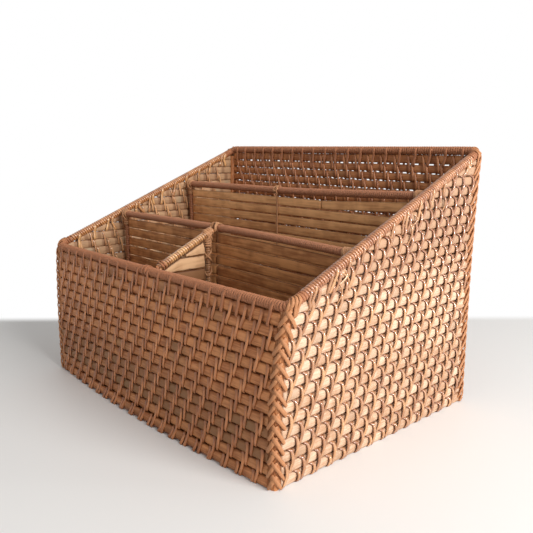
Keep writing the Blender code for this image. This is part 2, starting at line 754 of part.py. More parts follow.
STICK_X = HALF_WIDTH - WALL_IN - 2 * SEAT_GAP - LASHING_THICKNESS - STICK_RADIUS
SLAT_X = STICK_X - STICK_RADIUS - 2 * SEAT_GAP - LASHING_THICKNESS


def rim_reach(y, height):
    """Distance from the middle to the side rims' inner face, less a gap."""
    along = y + ORIGIN_Y + HALF_DEPTH
    return side_point(1, along, height, RIM_RADIUS + RIM_SLEEVE_RADIUS + SEAT_GAP).x


def build_rear_divider(parts, root, cutters):
    """Adds the rear divider: rail, knot, slats and end sticks."""
    y = REAR_Y - ORIGIN_Y
    reach = rim_reach(y, REAR_RAIL_Z)
    add_rail("rear", y, REAR_RAIL_RADIUS, rear_rail_height, (-reach, reach), parts, root)
    top = REAR_RAIL_Z - REAR_SLAT_TOP_DROP
    strand_x = SLAT_X - STRAND_WIDTH / 2
    slats = []
    for index in range(REAR_SLATS):
        high = top - index * REAR_SLAT_PITCH
        low = high - REAR_SLAT_PITCH + REAR_SLAT_SPACE
        if low > BASE_THICKNESS:
            slats.append((low, high, -SLAT_X, strand_x))
    bottom = BASE_THICKNESS + SEAT_GAP
    panel = grille(slats, [strand_x], REAR_RAIL_Z - REAR_RAIL_RADIUS - SEAT_GAP, bottom, cutters)
    trim_height = REAR_RAIL_Z - REAR_RAIL_RADIUS - 2 * SEAT_GAP - 2 * KNOT_THICKNESS
    trim(panel, Vector((trim_height, 0, 0)), Vector((1, 0, 0)))
    bend(panel, lambda p: Vector((p.z, p.y + y, p.x)))
    add_solid("rear_slats", panel, parts, root, DARK_BAMBOO)
    bpy.ops.mesh.primitive_torus_add(
        major_radius=flat_sided(REAR_RAIL_RADIUS + SEAT_GAP + KNOT_THICKNESS, RAIL_SIDES),
        minor_radius=KNOT_THICKNESS, major_segments=RAIL_SIDES, minor_segments=RAIL_SIDES)
    torus = bpy.context.object
    bm = bmesh.new()
    bm.from_mesh(torus.data)
    bpy.data.objects.remove(torus, do_unlink=True)
    turn = Matrix.Rotation(math.pi / 2, 4, "Y")
    half_turn = Matrix.Rotation(math.pi / RAIL_SIDES, 4, "X")
    bmesh.ops.transform(bm, matrix=half_turn @ turn, verts=bm.verts)
    knot_z = rear_rail_height(KNOT_X)
    bmesh.ops.translate(bm, verts=bm.verts, vec=(0, 0, knot_z))
    near = -SLAT_THICKNESS / 2 - SEAT_GAP
    strand_top = knot_z - REAR_RAIL_RADIUS - SEAT_GAP - KNOT_THICKNESS
    outline = [(bottom, near - KNOT_THICKNESS), (strand_top, near - KNOT_THICKNESS),
               (strand_top, near), (bottom, near)]
    strand = prism([outline], -STRAND_WIDTH / 2, STRAND_WIDTH / 2)
    for vertex in strand.verts:
        vertex.co = Vector((vertex.co.z, vertex.co.y, vertex.co.x))
    knot = unite(bm, strand, cutters)
    bmesh.ops.translate(knot, verts=knot.verts, vec=(KNOT_X, y, 0))
    add_solid("rear_knot", knot, parts, root, BARK)
    for side, sign in (("left", -1), ("right", 1)):
        add_stick_and_lashing("rear", side, sign, y, REAR_RAIL_RADIUS, rear_rail_height,
                              parts, root, cutters)


def build_front_divider(parts, root, cutters):
    """Adds the front divider: rail, two runs of slats and end sticks."""
    y = FRONT_Y - ORIGIN_Y
    reach = rim_reach(y, FRONT_RAIL_Z - FRONT_RAIL_DROP)
    add_rail("front", y, FRONT_RAIL_RADIUS, front_rail_height, (-reach, reach), parts, root)
    top = FRONT_RAIL_Z - FRONT_SLAT_TOP_DROP
    bottom = BASE_THICKNESS + SEAT_GAP
    gap_half = STRAND_WIDTH / 2
    strand_x = SLAT_X - STRAND_WIDTH / 2
    runs = (("front_slats_left", -strand_x, SHORT_X - gap_half, -strand_x),
            ("front_slats_right", SHORT_X + gap_half, strand_x, strand_x))
    for name, start, end, strand in runs:
        slats = []
        for index in range(FRONT_SLATS):
            high = top - index * FRONT_SLAT_PITCH
            low = max(bottom, high - FRONT_SLAT_PITCH + FRONT_SLAT_SPACE)
            if high - low > FRONT_SLAT_PITCH / 2:
                slats.append((low, high, start, end))
        panel = grille(slats, [strand], top, bottom, cutters)

        def place(p):
            share = (front_rail_height(p.z) - bottom) / (FRONT_RAIL_Z - bottom)
            return Vector((p.z, p.y + y, bottom + (p.x - bottom) * share))

        bend(panel, place)
        add_solid(name, panel, parts, root, BAMBOO)
    for side, sign in (("left", -1), ("right", 1)):
        add_stick_and_lashing("front", side, sign, y, FRONT_RAIL_RADIUS, front_rail_height,
                              parts, root, cutters)
    collar = ring(FRONT_RAIL_RADIUS, -JUNCTION_LENGTH / 2, JUNCTION_LENGTH / 2)
    centre_z = front_rail_height(SHORT_X)
    bend(collar, lambda p: Vector((SHORT_X + p.z, y + p.x, centre_z + p.y)))
    add_solid("junction_lashing", collar, parts, root, CANE)


def rim_lashing(parts, root):
    """Adds the open lashing over the front rim where the short rail meets it."""
    centre = FRONT_HEIGHT - RIM_RADIUS
    inner = flat_sided(RIM_SLEEVE_RADIUS + SEAT_GAP, ROUND_SIDES)
    outer = inner + LASHING_THICKNESS
    turn = 2 * math.pi / ROUND_SIDES
    angles = [(index + 0.5) * turn for index in range(ROUND_SIDES // 2)]
    outside = [(centre + outer * math.sin(a), RIM_RADIUS + outer * math.cos(a)) for a in angles]
    inside = [(centre + inner * math.sin(a), RIM_RADIUS + inner * math.cos(a)) for a in angles]
    strap = prism([outside + inside[::-1]], SHORT_X - RIM_LASHING_LENGTH / 2,
                  SHORT_X + RIM_LASHING_LENGTH / 2)
    bend(strap, lambda p: front_point(p.z, p.x, p.y))
    add_solid("rim_lashing", strap, parts, root, CANE)


def build_short_divider(parts, root, cutters):
    """Adds the short divider from the front rim up to the front rail."""
    rim_z = FRONT_HEIGHT - RIM_RADIUS
    lashing = flat_sided(RIM_SLEEVE_RADIUS + SEAT_GAP, ROUND_SIDES) + LASHING_THICKNESS
    low_y = front_point(SHORT_X, rim_z, RIM_RADIUS + lashing + SEAT_GAP).y
    junction = flat_sided(FRONT_RAIL_RADIUS + SEAT_GAP + LASHING_THICKNESS, RAIL_SIDES)
    high_y = FRONT_Y - ORIGIN_Y - junction - SEAT_GAP
    tilt = math.atan2(SHORT_RAIL_HIGH_Z - SHORT_RAIL_LOW_Z, high_y - low_y)
    high_y -= SHORT_RAIL_RADIUS * math.sin(tilt)
    rise = (SHORT_RAIL_HIGH_Z - SHORT_RAIL_LOW_Z) / (high_y - low_y)
    low = Vector((SHORT_X, low_y, SHORT_RAIL_LOW_Z))
    high = Vector((SHORT_X, high_y, SHORT_RAIL_HIGH_Z))
    axis = (high - low).normalized()
    add_tube("short_rail_core", [low + axis * SHORT_RAIL_RADIUS, high], RAIL_CORE_RADIUS,
             parts, root, CANE)
    bore = flat_sided(RAIL_CORE_RADIUS + SEAT_GAP, RAIL_SIDES)
    length = (high - low).length
    sleeve = prism([circle(0, 0, SHORT_RAIL_RADIUS, RAIL_SIDES), circle(0, 0, bore, RAIL_SIDES)],
                   SHORT_RAIL_RADIUS + SEAT_GAP, length - SEAT_GAP)
    up = axis.cross(Vector((-1, 0, 0)))
    place_on_rail = lambda p: low + axis * p.z + up * p.y + Vector((p.x, 0, 0))
    bend(sleeve, place_on_rail)
    add_solid("short_rail_wrap", sleeve, parts, root, BARK)

    def rail_z(y):
        return SHORT_RAIL_LOW_Z + rise * (y - low_y)

    stick_y = SHORT_STICK_Y - ORIGIN_Y
    stretch = math.hypot(1, rise)
    under = SHORT_RAIL_RADIUS + LASHING_THICKNESS + 2 * SEAT_GAP
    under = under * stretch + SHORT_STICK_RADIUS * rise
    stick_top = rail_z(stick_y) - under
    add_tube("centre_stick", [(SHORT_X, stick_y, BASE_THICKNESS + SEAT_GAP),
                              (SHORT_X, stick_y, stick_top)],
             SHORT_STICK_RADIUS, parts, root, CANE)
    along = (stick_y - low_y) * stretch
    collar = ring(SHORT_RAIL_RADIUS, along - RAIL_LASHING_LENGTH / 2,
                  along + RAIL_LASHING_LENGTH / 2)
    bend(collar, place_on_rail)
    ring_top = rail_z(stick_y) - (SHORT_RAIL_RADIUS + 2 * SEAT_GAP) * stretch
    ring_foot = ring_top - STICK_LASHING_LENGTH
    lower = ring(SHORT_STICK_RADIUS, ring_foot, ring_top)
    for vertex in lower.verts:
        up_share = (vertex.co.z - ring_foot) / STICK_LASHING_LENGTH
        vertex.co.z += rise * vertex.co.y * up_share
    bmesh.ops.translate(lower, verts=lower.verts, vec=(SHORT_X, stick_y, 0))
    add_solid("centre_lashing", unite(collar, lower, cutters), parts, root, CANE)

    slat_end = stick_y - SHORT_STICK_RADIUS - 2 * SEAT_GAP - LASHING_THICKNESS
    bottom = BASE_THICKNESS + SEAT_GAP
    rod_line = 2 * (SEAT_GAP + BASE_ROD_RADIUS) + WALL_IN
    rod_top = bottom + 2 * BASE_ROD_RADIUS + 2 * SEAT_GAP
    reach = slat_end - low_y
    strand = reach - STRAND_WIDTH / 2
    drop = SHORT_SLAT_TOP_DROP * stretch
    limit = SHORT_RAIL_LOW_Z - drop + rise * strand - SHORT_SLAT_SPACE
    slats = []
    for index in range(SHORT_SLATS):
        low_z = bottom + SEAT_GAP + index * SHORT_SLAT_PITCH
        if low_z < limit:
            slats.append((low_z, low_z + SHORT_SLAT_PITCH - SHORT_SLAT_SPACE, -OVERRUN, strand))
    panel = grille(slats, [strand], slats[-1][1], bottom + SEAT_GAP, cutters)
    rim_line = FRONT_TOP - SEAT_GAP
    trim(panel, Vector((SHORT_RAIL_LOW_Z - drop, 0, 0)), Vector((1, 0, -rise)))

    def place(p):
        y = low_y + p.z
        if p.z < 0:
            height = min(p.x, rim_line)
            inner = WALL_IN + 2 * SEAT_GAP
            if p.x < rod_top:
                height = rod_top
                inner = rod_line + bow(BASE_THICKNESS) - bow(rod_top)
            wall_y = front_point(SHORT_X, height, inner).y
            y = max(wall_y, y)
        return Vector((SHORT_X + p.y, y, p.x))

    bend(panel, place)
    add_solid("short_slats", panel, parts, root, BAMBOO)


def main():
    """Builds the whole basket."""
    clear_scene()
    parts = make_collection("desk_organizer")
    cutters = make_collection("cutters")
    root = bpy.data.objects.new("organizer", None)
    parts.objects.link(root)
    build_walls(parts, root, cutters)
    build_base(parts, root)
    build_rims(parts, root, cutters)
    build_corners(parts, root)
    build_rear_divider(parts, root, cutters)
    build_front_divider(parts, root, cutters)
    build_short_divider(parts, root, cutters)
    rim_lashing(parts, root)


main()
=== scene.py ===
"""Wicker desk organizer: stitched slat walls, wrapped rims, bound corners, slatted dividers.

Metres, +Z up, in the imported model's frame. Walls are described by how far a point is to the
right from the wall's left end, as seen from outside, how high it is, and how deep in the wall.
"""
import json
import logging
import math
import random
from dataclasses import dataclass, field, fields
from enum import Enum

import bmesh
import bpy
import numpy as np
from mathutils import Matrix, Vector


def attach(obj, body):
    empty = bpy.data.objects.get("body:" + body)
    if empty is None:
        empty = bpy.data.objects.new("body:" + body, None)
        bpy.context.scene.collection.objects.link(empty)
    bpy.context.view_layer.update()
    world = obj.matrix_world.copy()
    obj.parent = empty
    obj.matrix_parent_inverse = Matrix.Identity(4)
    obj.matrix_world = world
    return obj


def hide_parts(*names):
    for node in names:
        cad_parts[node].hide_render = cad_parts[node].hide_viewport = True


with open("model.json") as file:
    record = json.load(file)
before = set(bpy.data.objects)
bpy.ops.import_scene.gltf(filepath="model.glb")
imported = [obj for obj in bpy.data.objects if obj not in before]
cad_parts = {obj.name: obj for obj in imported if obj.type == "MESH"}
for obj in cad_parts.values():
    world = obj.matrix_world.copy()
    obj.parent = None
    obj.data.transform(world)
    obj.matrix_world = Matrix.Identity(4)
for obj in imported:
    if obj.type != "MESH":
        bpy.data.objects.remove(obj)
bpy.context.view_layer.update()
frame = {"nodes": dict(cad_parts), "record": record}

LOG = logging.getLogger("organizer")
Array = np.ndarray
MM = 0.001


class Wall(Enum):
    """The four walls."""

    FRONT = "front"
    RIGHT = "right"
    BACK = "back"
    LEFT = "left"


class Slot(Enum):
    """The record's material slots."""

    WALL = "wall_slats"
    BASE = "base_slats"
    REAR = "rear_divider_slats"
    MIDDLE = "front_divider_slats"
    RIM = "rim_cane"
    BINDING = "binding_cane"
    RAIL = "rail_cane"
    LASHING = "lashing_cane"
    ROD = "rods"


@dataclass(frozen=True)
class BasketForm:
    """Flared and bowed form of the basket, with the places of rims, rows and corners.

    A wall's top stands out by its flare and back by its lean. The front bulges by its bow, and
    more so near the floor. The shift centres the whole over the origin.
    """

    width: float = 0.305
    depth: float = 0.215
    front_height: float = 0.1195
    back_height: float = 0.2075
    front_flare: float = 0.0078
    back_flare: float = 0.0017
    front_lean: float = 0.0065
    back_lean: float = 0.0043
    front_bow: float = 0.0016
    foot_bow: float = 0.0068
    foot_fade: float = 0.0080
    shift: float = 0.001013
    flare_power: int = 3
    rim_radius: float = 0.0037
    wrap_radius: float = 0.0036
    front_rows: int = 14
    upper_rows: int = 12
    rim_seat: float = 0.0077
    corner_radius: float = 0.0046

    @property
    def slope(self) -> float:
        """Rise of the side rims for each metre back."""
        return (self.back_height - self.front_height) / self.depth

    def length(self, wall: Wall) -> float:
        """Length of a wall at the floor."""
        return self.width if wall in (Wall.FRONT, Wall.BACK) else self.depth

    def rim_height(self, wall: Wall, along: Array) -> Array:
        """Height of the rim's top over a wall.

        Args:
            wall: the wall.
            along: distances from its left end, as seen from outside.

        Returns:
            The heights.
        """
        if wall is Wall.FRONT:
            return self.front_height + 0 * along
        if wall is Wall.BACK:
            return self.back_height + 0 * along
        from_front = along if wall is Wall.RIGHT else self.depth - along
        return self.front_height + self.slope * from_front

    def levels(self) -> list[float]:
        """Heights of the lines between rows of slats.

        Returns:
            The heights from the floor up, one more than there are rows.
        """
        low = self.front_height - self.rim_seat
        high = self.back_height - self.rim_seat
        lower = [low * i / self.front_rows for i in range(self.front_rows + 1)]
        step = (high - low) / self.upper_rows
        return lower + [low + step * (i + 1) for i in range(self.upper_rows)]

    def front(self, across: Array, height: Array, depth: Array) -> Array:
        """Places on the front wall.

        Args:
            across: distances from the middle, to the right.
            height: heights.
            depth: depths inwards from the wall's outer face.

        Returns:
            One row of x, y, z for each point.
        """
        share = (height / self.front_height) ** self.flare_power
        part = across / (self.width / 2)
        bow = self.front_bow + self.foot_bow * np.exp(-height / self.foot_fade)
        x = across + part * self.front_flare * share
        y = -self.depth / 2 + self.front_lean * share - bow * (1 - part ** 2) + depth + self.shift
        return np.stack(np.broadcast_arrays(x, y, height), axis=-1)

    def back(self, across: Array, height: Array, depth: Array) -> Array:
        """Places on the back wall.

        Args:
            across: distances from the middle, to the left as seen from outside.
            height: heights.
            depth: depths inwards from the wall's outer face.

        Returns:
            One row of x, y, z for each point.
        """
        share = (height / self.back_height) ** self.flare_power
        x = across + across / (self.width / 2) * self.back_flare * share
        y = self.depth / 2 + self.back_lean * share - depth + self.shift
        return np.stack(np.broadcast_arrays(x, y, height), axis=-1)

    def side(self, sign: int, from_front: Array, height: Array, depth: Array) -> Array:
        """Places on a side wall.

        Args:
            sign: 1 for the right wall, -1 for the left.
            from_front: distances from the wall's front corner.
            height: heights.
            depth: depths inwards from the wall's outer face.

        Returns:
            One row of x, y, z for each point.
        """
        t = from_front / self.depth
        share = (height / (self.front_height + self.slope * from_front)) ** self.flare_power
        out = self.width / 2 + (self.front_flare + (self.back_flare - self.front_flare) * t) * share
        lean = (self.front_lean + (self.back_lean - self.front_lean) * t) * share
        y = from_front - self.depth / 2 + lean + self.shift
        return np.stack(np.broadcast_arrays(sign * (out - depth), y, height), axis=-1)

    def place(self, wall: Wall, along: Array, height: Array, depth: Array) -> Array:
        """Places on any wall.

        Args:
            wall: the wall.
            along: distances from its left end, as seen from outside.
            height: heights.
            depth: depths inwards from the wall's outer face.

        Returns:
            One row of x, y, z for each point.
        """
        along, height, depth = (np.asarray(a, float) for a in (along, height, depth))
        if wall is Wall.FRONT:
            return self.front(along - self.width / 2, height, depth)
        if wall is Wall.BACK:
            return self.back(self.width / 2 - along, height, depth)
        if wall is Wall.RIGHT:
            return self.side(1, along, height, depth)
        return self.side(-1, self.depth - along, height, depth)

    def corner_offsets(self, arc: Array, depth: Array, radius: float) -> tuple[Array, Array]:
        """Distances in from the side face and from the end face, round a corner.

        Args:
            arc: arc length from the corner's middle, above zero on the side wall.
            depth: depth inwards.
            radius: radius of the corner.

        Returns:
            The distance from the side wall's face, and from the front's or back's.
        """
        quarter = radius * math.pi / 4
        angle = math.pi / 4 + np.clip(arc, -quarter, quarter) / radius
        reach = radius - depth
        from_side = radius - reach * np.sin(angle)
        from_end = radius - reach * np.cos(angle)
        from_side = np.where(arc < -quarter, radius - quarter - arc, from_side)
        from_end = np.where(arc > quarter, radius - quarter + arc, from_end)
        return from_side, from_end

    def corner(self, end: Wall, sign: int, arc: Array, height: Array, depth: Array,
               radius: float) -> Array:
        """Places round a corner between the front or back wall and a side wall.

        Args:
            end: the front or the back wall.
            sign: 1 for the right side, -1 for the left.
            arc: arc lengths from the corner's middle, above zero on the side wall.
            height: heights.
            depth: depths inwards.
            radius: radius of the corner.

        Returns:
            One row of x, y, z for each point.
        """
        arc, height, depth = (np.asarray(a, float) for a in (arc, height, depth))
        from_side, from_end = self.corner_offsets(arc, depth, radius)
        from_front = from_end if end is Wall.FRONT else self.depth - from_end
        on_side = self.side(sign, from_front, height, from_side)
        across = sign * (self.width / 2 - from_side)
        on_end = (self.front if end is Wall.FRONT else self.back)(across, height, from_end)
        return np.where((arc > 0)[..., None], on_side, on_end)

    def face(self, wall: Wall, along: Array, height: Array, depth: Array, out: Array,
             up: Array) -> tuple[Array, Array]:
        """Places on a wall, and the way that a strand's face looks there.

        Args:
            wall: the wall.
            along: distances from its left end, as seen from outside.
            height: heights.
            depth: depths inwards from the wall's outer face.
            out: how far the strand's face looks out of the wall.
            up: how far it looks up.

        Returns:
            The places, and a vector of length one for each.
        """
        centre = self.place(wall, along, height, depth)
        outer = self.place(wall, along, height, depth - MM) - centre
        rising = self.place(wall, along, height + MM, depth) - centre
        return centre, unit(unit(outer) * out[:, None] + unit(rising) * up[:, None])


FORM = BasketForm()
LEAST_LENGTH = 1e-12


def unit(rows: Array) -> Array:
    """Rows of vectors at length one."""
    return rows / np.maximum(np.linalg.norm(rows, axis=-1, keepdims=True), LEAST_LENGTH)


def smooth_path(points: Array, steps: int) -> Array:
    """Curve through control points, with some steps between each two.

    Args:
        points: control points in rows.
        steps: stations between two control points.

    Returns:
        Stations in rows.
    """
    padded = np.vstack([2 * points[0] - points[1], points, 2 * points[-1] - points[-2]])
    a, b, c, d = padded[:-3], padded[1:-2], padded[2:-1], padded[3:]
    t = (np.arange(steps) / steps)[None, :, None]
    a, b, c, d = (p[:, None, :] for p in (a, b, c, d))
    curve = 0.5 * (2 * b + (c - a) * t + (2 * a - 5 * b + 4 * c - d) * t ** 2
                   + (3 * b - a - 3 * c + d) * t ** 3)
    return np.vstack([curve.reshape(-1, points.shape[1]), points[-1:]])


@dataclass
class Path:
    """Line that a strand or slat follows, with its size and shade on the way.

    Up is the way that its broad face looks. Dark goes from pale to deep, grey from fresh to
    aged (also painted shade where a wall's painted shade is strong), and hidden from open to
    the painted shade of crevices.
    """

    centre: Array
    up: Array
    half_width: Array
    half_thickness: Array
    dark: Array
    grey: Array
    painted_shade: Array

    @classmethod
    def along(cls, centre: Array, up: Array, width: float | Array, thickness: float | Array,
              dark: float | Array = 0.5, grey: float | Array = 0.0,
              painted_shade: float | Array = 0.0) -> "Path":
        """Makes a path whose sizes and shades are each one number, or one a station.

        Args:
            centre: its stations in rows.
            up: the way that its broad face looks, in rows.
            width: full width.
            thickness: full thickness.
            dark: how deep its colour is.
            grey: how aged its colour is; where a wall's painted shade is strong, also painted
                shade.
            painted_shade: how much painted shade of crevices it takes.

        Returns:
            The path.
        """
        count = len(centre)
        spread = [np.broadcast_to(np.asarray(v, float), (count,))
                  for v in (width, thickness, dark, grey, painted_shade)]
        return cls(centre, up, spread[0] / 2, spread[1] / 2, *spread[2:])

    def cut(self, part: slice) -> "Path":
        """Takes out a stretch of the path."""
        return Path(*(getattr(self, column.name)[part] for column in fields(self)))


class Blank:
    """Straight closed tube whose stations and angles are known, kept for use again."""

    kept: dict[tuple[int, int], "Blank"] = {}

    def __init__(self, sides: int, steps: int) -> None:
        """Makes the tube.

        Args:
            sides: faces round the tube.
            steps: faces along the tube.
        """
        tube = bmesh.new()
        bmesh.ops.create_cone(tube, cap_ends=True, segments=sides, radius1=1, radius2=1,
                              depth=steps)
        long_edges = [e for e in tube.edges
                      if abs(e.verts[0].co.z - e.verts[1].co.z) > steps / 2]
        bmesh.ops.subdivide_edges(tube, edges=long_edges, cuts=steps - 1)
        self.mesh = bpy.data.meshes.new("blank")
        tube.to_mesh(self.mesh)
        tube.free()
        places = np.empty(len(self.mesh.vertices) * 3, np.float32)
        self.mesh.vertices.foreach_get("co", places)
        places = places.reshape(-1, 3)
        self.station = np.rint(places[:, 2] + steps / 2).astype(int)
        self.angle = np.arctan2(places[:, 1], places[:, 0])

    @classmethod
    def of(cls, sides: int, steps: int) -> "Blank":
        """Finds the tube of a size, or makes it.

        Args:
            sides: faces round the tube.
            steps: faces along the tube.

        Returns:
            The tube.
        """
        if (sides, steps) not in cls.kept:
            cls.kept[sides, steps] = cls(sides, steps)
        return cls.kept[sides, steps]


class Strands:
    """One piece made of many strands or slats, each bent from a blank tube."""

    pattern_reach = 9.0

    def __init__(self, name: str, seed: int = 1) -> None:
        """Starts an empty piece.

        Args:
            name: the piece's name.
            seed: seed of its small irregularities.
        """
        self.name = name
        self.bm = bmesh.new()
        self.random = random.Random(seed)
        self.fibre: list[Array] = []
        self.tone: list[Array] = []

    def add(self, path: Path, sides: int = 6, square: float = 2.0, edge: float = 0.4) -> None:
        """Adds one strand.

        Args:
            path: the strand's path.
            sides: points round its section.
            square: 2 for an oval section, more for a squarer one.
            edge: how much painted shade darkens its two edges.
        """
        blank = Blank.of(sides, len(path.centre) - 1)
        tangent = unit(np.gradient(path.centre, axis=0))
        side = unit(np.cross(path.up, tangent))
        up = np.cross(tangent, side)
        i = blank.station
        c, s = np.cos(blank.angle), np.sin(blank.angle)
        u = np.sign(c) * np.abs(c) ** (2 / square) * path.half_width[i]
        v = np.sign(s) * np.abs(s) ** (2 / square) * path.half_thickness[i]
        places = path.centre[i] + side[i] * u[:, None] + up[i] * v[:, None]
        run = np.concatenate([[0], np.cumsum(np.linalg.norm(np.diff(path.centre, axis=0), axis=1))])
        offset = self.random.uniform(0, self.pattern_reach)
        self.fibre.append(np.stack([run[i] + offset, u, v + offset], axis=-1))
        # Painted shade: the path's shade of crevices, deepened at the strand's two edges.
        painted_shade = path.painted_shade[i] + edge * np.clip(2 * np.abs(c) - 1, 0, 1) ** 3
        self.tone.append(np.stack([path.dark[i], path.grey[i], painted_shade], axis=-1))
        blank.mesh.vertices.foreach_set("co", places.astype(np.float32).ravel())
        self.bm.from_mesh(blank.mesh)

    def add_long(self, path: Path, stations: int, sides: int, edge: float) -> None:
        """Adds one long strand as a chain of tubes, each from the last one's end.

        Args:
            path: the strand's path.
            stations: most stations of one tube.
            sides: points round its section.
            edge: how much painted shade darkens its two edges.
        """
        start = 0
        while start < len(path.centre) - 2:
            stop = min(start + stations, len(path.centre))
            self.add(path.cut(slice(start, stop)), sides, edge=edge)
            start = stop - 1

    def finish(self, material: bpy.types.Material, slot: Slot, nodes: list[str]) -> None:
        """Makes the object and ties it to the frame.

        Args:
            material: its material.
            slot: the record's slot; not used.
            nodes: CAD nodes that it stands for.
        """
        mesh = bpy.data.meshes.new(self.name)
        self.bm.normal_update()
        self.bm.to_mesh(mesh)
        self.bm.free()
        for name, rows in (("fibre", self.fibre), ("tone", self.tone)):
            layer = mesh.attributes.new(name, "FLOAT_VECTOR", "POINT")
            layer.data.foreach_set("vector", np.vstack(rows).astype(np.float32).ravel())
        mesh.shade_smooth()
        add_piece(self.name, mesh, material, nodes)


def add_piece(name: str, mesh: bpy.types.Mesh, material: bpy.types.Material,
              nodes: list[str]) -> bpy.types.Object:
    """Adds a finished mesh as a piece of the basket.

    Args:
        name: the piece's name.
        mesh: its mesh, in place.
        material: its material.
        nodes: CAD nodes that it stands for.

    Returns:
        The new object.
    """
    piece = bpy.data.objects.new(name, mesh)
    bpy.context.scene.collection.objects.link(piece)
    mesh.materials.append(material)
    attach(piece, "root")
    if nodes:
        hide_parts(*nodes)
    LOG.info("%s: %d faces", name, len(mesh.polygons))
    return piece


class Shader:
    """Small helper that wires nodes."""

    def __init__(self, tree: bpy.types.NodeTree) -> None:
        """Keeps the tree."""
        self.tree = tree

    def node(self, kind: str, inputs: dict | None = None, **settings: object) -> bpy.types.Node:
        """Adds a node.

        Args:
            kind: the node's type.
            inputs: values, or sockets to link, by input name or number.
            settings: the node's own properties.

        Returns:
            The node.
        """
        made = self.tree.nodes.new(kind)
        for key, value in settings.items():
            setattr(made, key, value)
        for key, value in (inputs or {}).items():
            if isinstance(value, bpy.types.NodeSocket):
                self.tree.links.new(value, made.inputs[key])
            else:
                made.inputs[key].default_value = value
        return made

    def math(self, operation: str, first: object, second: object = 0.0) -> bpy.types.NodeSocket:
        """Adds a sum, product or other operation on two numbers."""
        return self.node("ShaderNodeMath", {0: first, 1: second}, operation=operation).outputs[0]

    def mix(self, share: object, first: object, second: object,
            blend: str = "MIX") -> bpy.types.NodeSocket:
        """Mixes two colours.

        Args:
            share: how much of the second shows.
            first: first colour.
            second: second colour.
            blend: the way of mixing.

        Returns:
            The mixed colour's socket.
        """
        made = self.node("ShaderNodeMix", data_type="RGBA", blend_type=blend)
        for socket, value in ((made.inputs[0], share), (made.inputs[6], first),
                              (made.inputs[7], second)):
            if isinstance(value, bpy.types.NodeSocket):
                self.tree.links.new(value, socket)
            else:
                socket.default_value = value
        return made.outputs[2]

    def ramp(self, value: object, low: float, high: float, start: float = 0.0,
             end: float = 1.0) -> bpy.types.NodeSocket:
        """Maps a range onto another, smoothly, and clamps it.

        Args:
            value: the value.
            low: where the range starts.
            high: where the range ends.
            start: what the low end becomes.
            end: what the high end becomes.

        Returns:
            The mapped value's socket.
        """
        return self.node("ShaderNodeMapRange",
                         {"Value": value, "From Min": low, "From Max": high, "To Min": start,
                          "To Max": end}, interpolation_type="SMOOTHSTEP").outputs["Result"]


Colour = tuple[float, float, float]


def rgba(colour: Colour) -> tuple[float, float, float, float]:
    """A colour with its alpha."""
    return (*colour, 1.0)


@dataclass(frozen=True)
class CanePattern:
    """How the streaks, patches and blotches of split cane vary."""

    streak_stretch: tuple[float, float, float] = (0.07, 1.0, 1.0)
    streak_detail: float = 3.0
    streak_roughness: float = 0.6
    streak_depth: float = 2.4
    streak_shine: float = 0.35
    patch_stretch: tuple[float, float, float] = (0.25, 1.0, 1.0)
    patch_scale: float = 210.0
    patch_depth: float = 0.10
    blotch_scale: float = 95.0
    blotch_depth: float = 0.14
    darkest_noise: float = 0.35
    palest_noise: float = 0.65


PATTERN = CanePattern()


